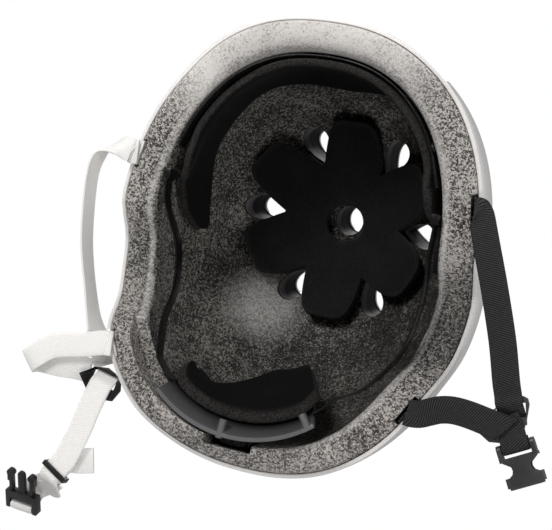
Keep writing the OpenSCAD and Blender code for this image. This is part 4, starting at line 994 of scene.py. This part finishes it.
def strap(name, node, body, slot, material, route, across, width=15.0, thick=1.4, slant=0.0):
    line = [p / MM for p in smooth_route(route)]
    wide = smooth_route(across)
    last = len(line) - 1
    rings, along_at, run = [], [], 0.0
    for i, point in enumerate(line):
        along = (line[min(last, i + 1)] - line[max(0, i - 1)]).normalized()
        side = (wide[i] - wide[i].dot(along) * along).normalized()
        up = along.cross(side).normalized()
        if i:
            run += (point - line[i - 1]).length
        along_at.append(run)
        skew = slant / MM * smooth(last - CUT_OVER, last, i)
        rings.append([point + side * u * width / MM + up * v * thick / MM + along * skew * 2 * u
                      for u, v in STRAP_SECTION])
    piece = ring_mesh(name, rings)
    size = len(STRAP_SECTION)
    uv = piece.data.uv_layers.new(name="cloth")
    for loop in piece.data.loops:
        ring, corner = min(last, loop.vertex_index // size), loop.vertex_index % size
        u = STRAP_SECTION[corner][0] if loop.vertex_index < size * len(rings) else 0
        uv.data[loop.index].uv = ((u + 0.5) * width / MM, along_at[ring])
    face_outwards(piece, merge=False)
    piece.data.materials.append(material)
    finish_shading(piece, 50)
    print(f"{name}: {run * MM:.0f} mm of tape")
    stand_for(piece, node, body)


print("points in a strap's section:", len(STRAP_SECTION))

# %% [markdown]
# The headband is a thin polyamide strip on edge. The brow part is fixed with pegs, and the two arms from
# the cradle slide in the guides at the temples. They are straps of another material: narrow, stiff and
# glossy. Both halves of the brow part are alike, so only the left half is listed.

# %% Headband
BAND_WIDE, BAND_THICK = 9.0, 1.2
brow_left = [(20.7, -110.4, 14), (37.4, -104.7, 14), (51.8, -95.4, 14), (64, -82.6, 14), (73.7, -66.5, 14),
             (80.7, -47.2, 14)]
brow = [(-x, y, z) for x, y, z in reversed(brow_left)] + [(0, -112.3, 14)] + brow_left
arm_left = [(36.5, 91.5, 14), (42.5, 85.9, 14), (47.5, 80.2, 14), (61.6, 71.6, 14), (75, 55.1, 14),
            (82.1, 36.7, 15), (85, 11.5, 14.5), (83.6, -9.2, 14), (83.6, -21.1, 14), (83.6, -32.6, 14)]
arm_right = [(-54.5, 91.5, 14), (-60.5, 85.9, 14), (-65.5, 80.2, 14), (-67.2, 71.6, 14), (-68, 55.1, 14),
             (-65.3, 36.7, 15), (-69.6, 11.5, 14.5), (-80.8, -9.2, 14), (-83.6, -21.1, 14),
             (-83.6, -32.6, 14)]
for name, node, body, route in (("brow_strip", "brow_band", "helmet", brow),
                                ("arm_on_left", "left_band_arm", "cradle", arm_left),
                                ("arm_on_right", "right_band_arm", "cradle", arm_right)):
    strap(name, node, body, "band", glossy_black, route, [(0, 0, 1)] * len(route), BAND_WIDE, BAND_THICK)

# %% [markdown]
# The left harness is black: a front strap from the temple, a rear strap from behind the ear, a divider
# that holds them below the ear, and a short end round the bar of the socket.

# %% Left harness
BLACK = ("harness_left", "webbing_black", black_webbing)
OUT_OF_LEFT = [(-0.11, 0.99, -0.06)] * 2
route = [(105.1, -38.5, 7.7), (108.1, -38.2, 7.7), (110.7, -35.1, 5.4), (113.1, -29, 3), (117.1, -19.5, 1.4),
         (125.6, 1.5, 0.9), (135.6, 28.5, 0.9), (141.9, 49.5, 1.2), (144.3, 57.1, 2.6), (145.5, 61.1, 2.6),
         (147, 64.7, 4.6), (148.4, 68.3, 6.7), (149.6, 72.5, 6.7)]
across = OUT_OF_LEFT + [(-0.45, 0.89, 0), (-0.8, 0.6, 0), (-0.92, 0.4, 0), (-0.94, 0.34, 0), (-0.95, 0.32, 0),
                        (-0.95, 0.3, 0), (-0.96, 0.28, 0), (-0.97, 0.25, 0)] + [(-0.97, 0.24, 0)] * 3
strap("front_strap_left", "left_front_strap", *BLACK, route, across)
route = [(92.1, 77.8, 0.9), (95.1, 78.1, 0.9), (99.6, 77.4, 0.9), (104.6, 75.1, 0.9), (110.1, 72.7, 0.9),
         (117.1, 71.4, 0.9), (126.1, 71.8, 0.9), (139.1, 73.8, 0.9), (147.6, 75, 0.9)]
across = OUT_OF_LEFT + [(-0.06, 1, -0.03), (0.1, 1, 0), (0.15, 1, 0), (0.04, 1, 0), (-0.08, 1, 0),
                        (-0.12, 1, 0), (-0.14, 1, 0)]
strap("rear_strap_left", "left_rear_strap", *BLACK, route, across, slant=-4)
route = [(145.1, 68.5, 2.6), (148.5, 73.5, 2.6), (150.4, 77, 2.6), (152.5, 80.8, 1.2), (153.8, 83.1, 0.9),
         (154.6, 84.6, 1.6), (154.9, 85.2, 3.3), (154.6, 84.6, 5), (153.8, 83.1, 5.7), (152.8, 81.3, 5.7),
         (151.6, 79.1, 6.1)]
strap("chin_end_left", "left_chin_strap", *BLACK, route, [(0.88, -0.48, 0)] * len(route))

# %% [markdown]
# The right harness is white and lies tangled as it was put down: its front strap stands on edge, its rear
# strap is folded back on itself, and the chin strap runs through the keeper, round the bar of the plug
# and back through the keeper, with its tail to the side.

# %% Right harness
WHITE = ("harness_right", "webbing_white", white_webbing)
OUT_OF_RIGHT = [(0.11, 0.99, -0.06)] * 2
route = [(-105.1, -38.5, 7.7), (-108.1, -38.2, 7.7), (-110.1, -39, 6.4), (-116.1, -40.3, 6),
         (-124.1, -38.5, 7.4), (-130.6, -32.5, 7.9), (-132.9, -20, 8), (-130.1, 5, 8), (-125.6, 26.2, 8),
         (-117.6, 49.5, 8), (-110.6, 67.5, 8.4), (-102.1, 81.5, 8.4), (-96.6, 91.5, 7.8)]
across = OUT_OF_RIGHT + [(0, -1, 0.2), (0, -0.85, 0.5), (-0.2, -0.4, 0.9)] + [(0, 0, 1)] * 5 + [
    (0.2, 0, 1), (0.75, -0.3, 0.6), (0.9, -0.4, 0.2)]
strap("front_strap_right", "right_front_strap", *WHITE, route, across)
route = [(-92.1, 77.8, 0.9), (-95.1, 78.1, 0.9), (-96.1, 78.2, 0.9), (-100.1, 79, 0.9), (-110.1, 81.8, 0.9),
         (-130.1, 86.8, 0.9), (-141.6, 95.3, 0.9), (-145.7, 99, 1.8), (-146.5, 99.8, 3.3), (-145.5, 99, 5.1),
         (-141.1, 97.4, 5.5), (-126.1, 97.2, 5.5), (-114.1, 96.4, 5.5), (-105.1, 96.8, 5.5)]
across = OUT_OF_RIGHT + [(-0.05, 1, 0), (0, 1, 0), (0.1, 0.98, 0), (0.38, 0.92, 0), (0.62, 0.78, 0),
                         (0.66, 0.75, 0), (0.66, 0.75, 0), (0.6, 0.8, 0), (0.3, 0.95, 0)] + [(0.05, 1, 0)] * 3
strap("rear_strap_right", "right_rear_strap", *WHITE, route, across)
route = [(-91.7, 94.8, 5.4), (-92.7, 98.8, 3.4), (-93.9, 102.4, 1.1), (-95.6, 107.8, 0.9),
         (-98.7, 119.8, 0.9), (-100.7, 129.8, 0.9), (-106.3, 149.2, 0.9), (-109.2, 154.5, 0.9),
         (-112, 159.8, 0.9), (-114.6, 164.6, 0.9), (-114, 169.4, 4.6), (-119.4, 173.2, 13.2),
         (-129.9, 174.2, 16.5), (-134.1, 178.9, 17), (-135.9, 182.1, 17.7), (-136.4, 184.9, 15.9),
         (-136.6, 187.5, 13.7), (-136.7, 189.7, 14.4), (-136.7, 190.6, 16.4), (-136.7, 189.7, 18.9),
         (-136.4, 187, 20.6), (-135.3, 181.7, 21), (-132, 175.9, 19.3), (-121, 169, 16), (-117, 167.2, 8.4),
         (-114.6, 164.6, 3), (-112, 159.8, 2.6), (-109.9, 155.8, 2.6), (-106, 151.8, 3.2),
         (-100, 150.8, 4.6), (-90.5, 148.4, 5.6)]
across = [(1, 0.2, 0), (1, 0.2, 0), (1, 0.22, 0), (1, 0.2, 0), (1, 0.15, 0), (1, 0.15, 0), (0.96, 0.3, 0)]
across += [(0.88, 0.47, 0)] * 3 + [(0.88, 0.47, -0.1), (0.96, 0.27, 0)] + [(1, 0.05, 0)] * 11
across += [(0.96, 0.27, 0)] + [(0.88, 0.47, 0)] * 4 + [(0.75, 0.66, 0), (0.3, 0.95, 0), (0.25, 0.97, 0)]
strap("chin_strap_right", "right_chin_strap", *WHITE, route, across)

# %% [markdown]
# Each strap starts from a tab of webbing that is riveted into a groove of the foam. The tabs keep their
# solids, with a map laid on them so that the same weave shows: black on the left, white on the right.

# %% Riveted tabs
tabs = rounded_copy("riveted_tabs", "strap_tabs", 0.0003, black_webbing, "helmet")
tabs.data.materials.append(white_webbing)
uv = tabs.data.uv_layers.new(name="cloth")
for face in tabs.data.polygons:
    face.material_index = 1 if face.center.x < 0 else 0
    for loop in face.loop_indices:
        corner = tabs.data.vertices[tabs.data.loops[loop].vertex_index].co
        uv.data[loop].uv = (corner.y, corner.z)
print("tabs of white webbing have", sum(face.material_index for face in tabs.data.polygons), "faces")
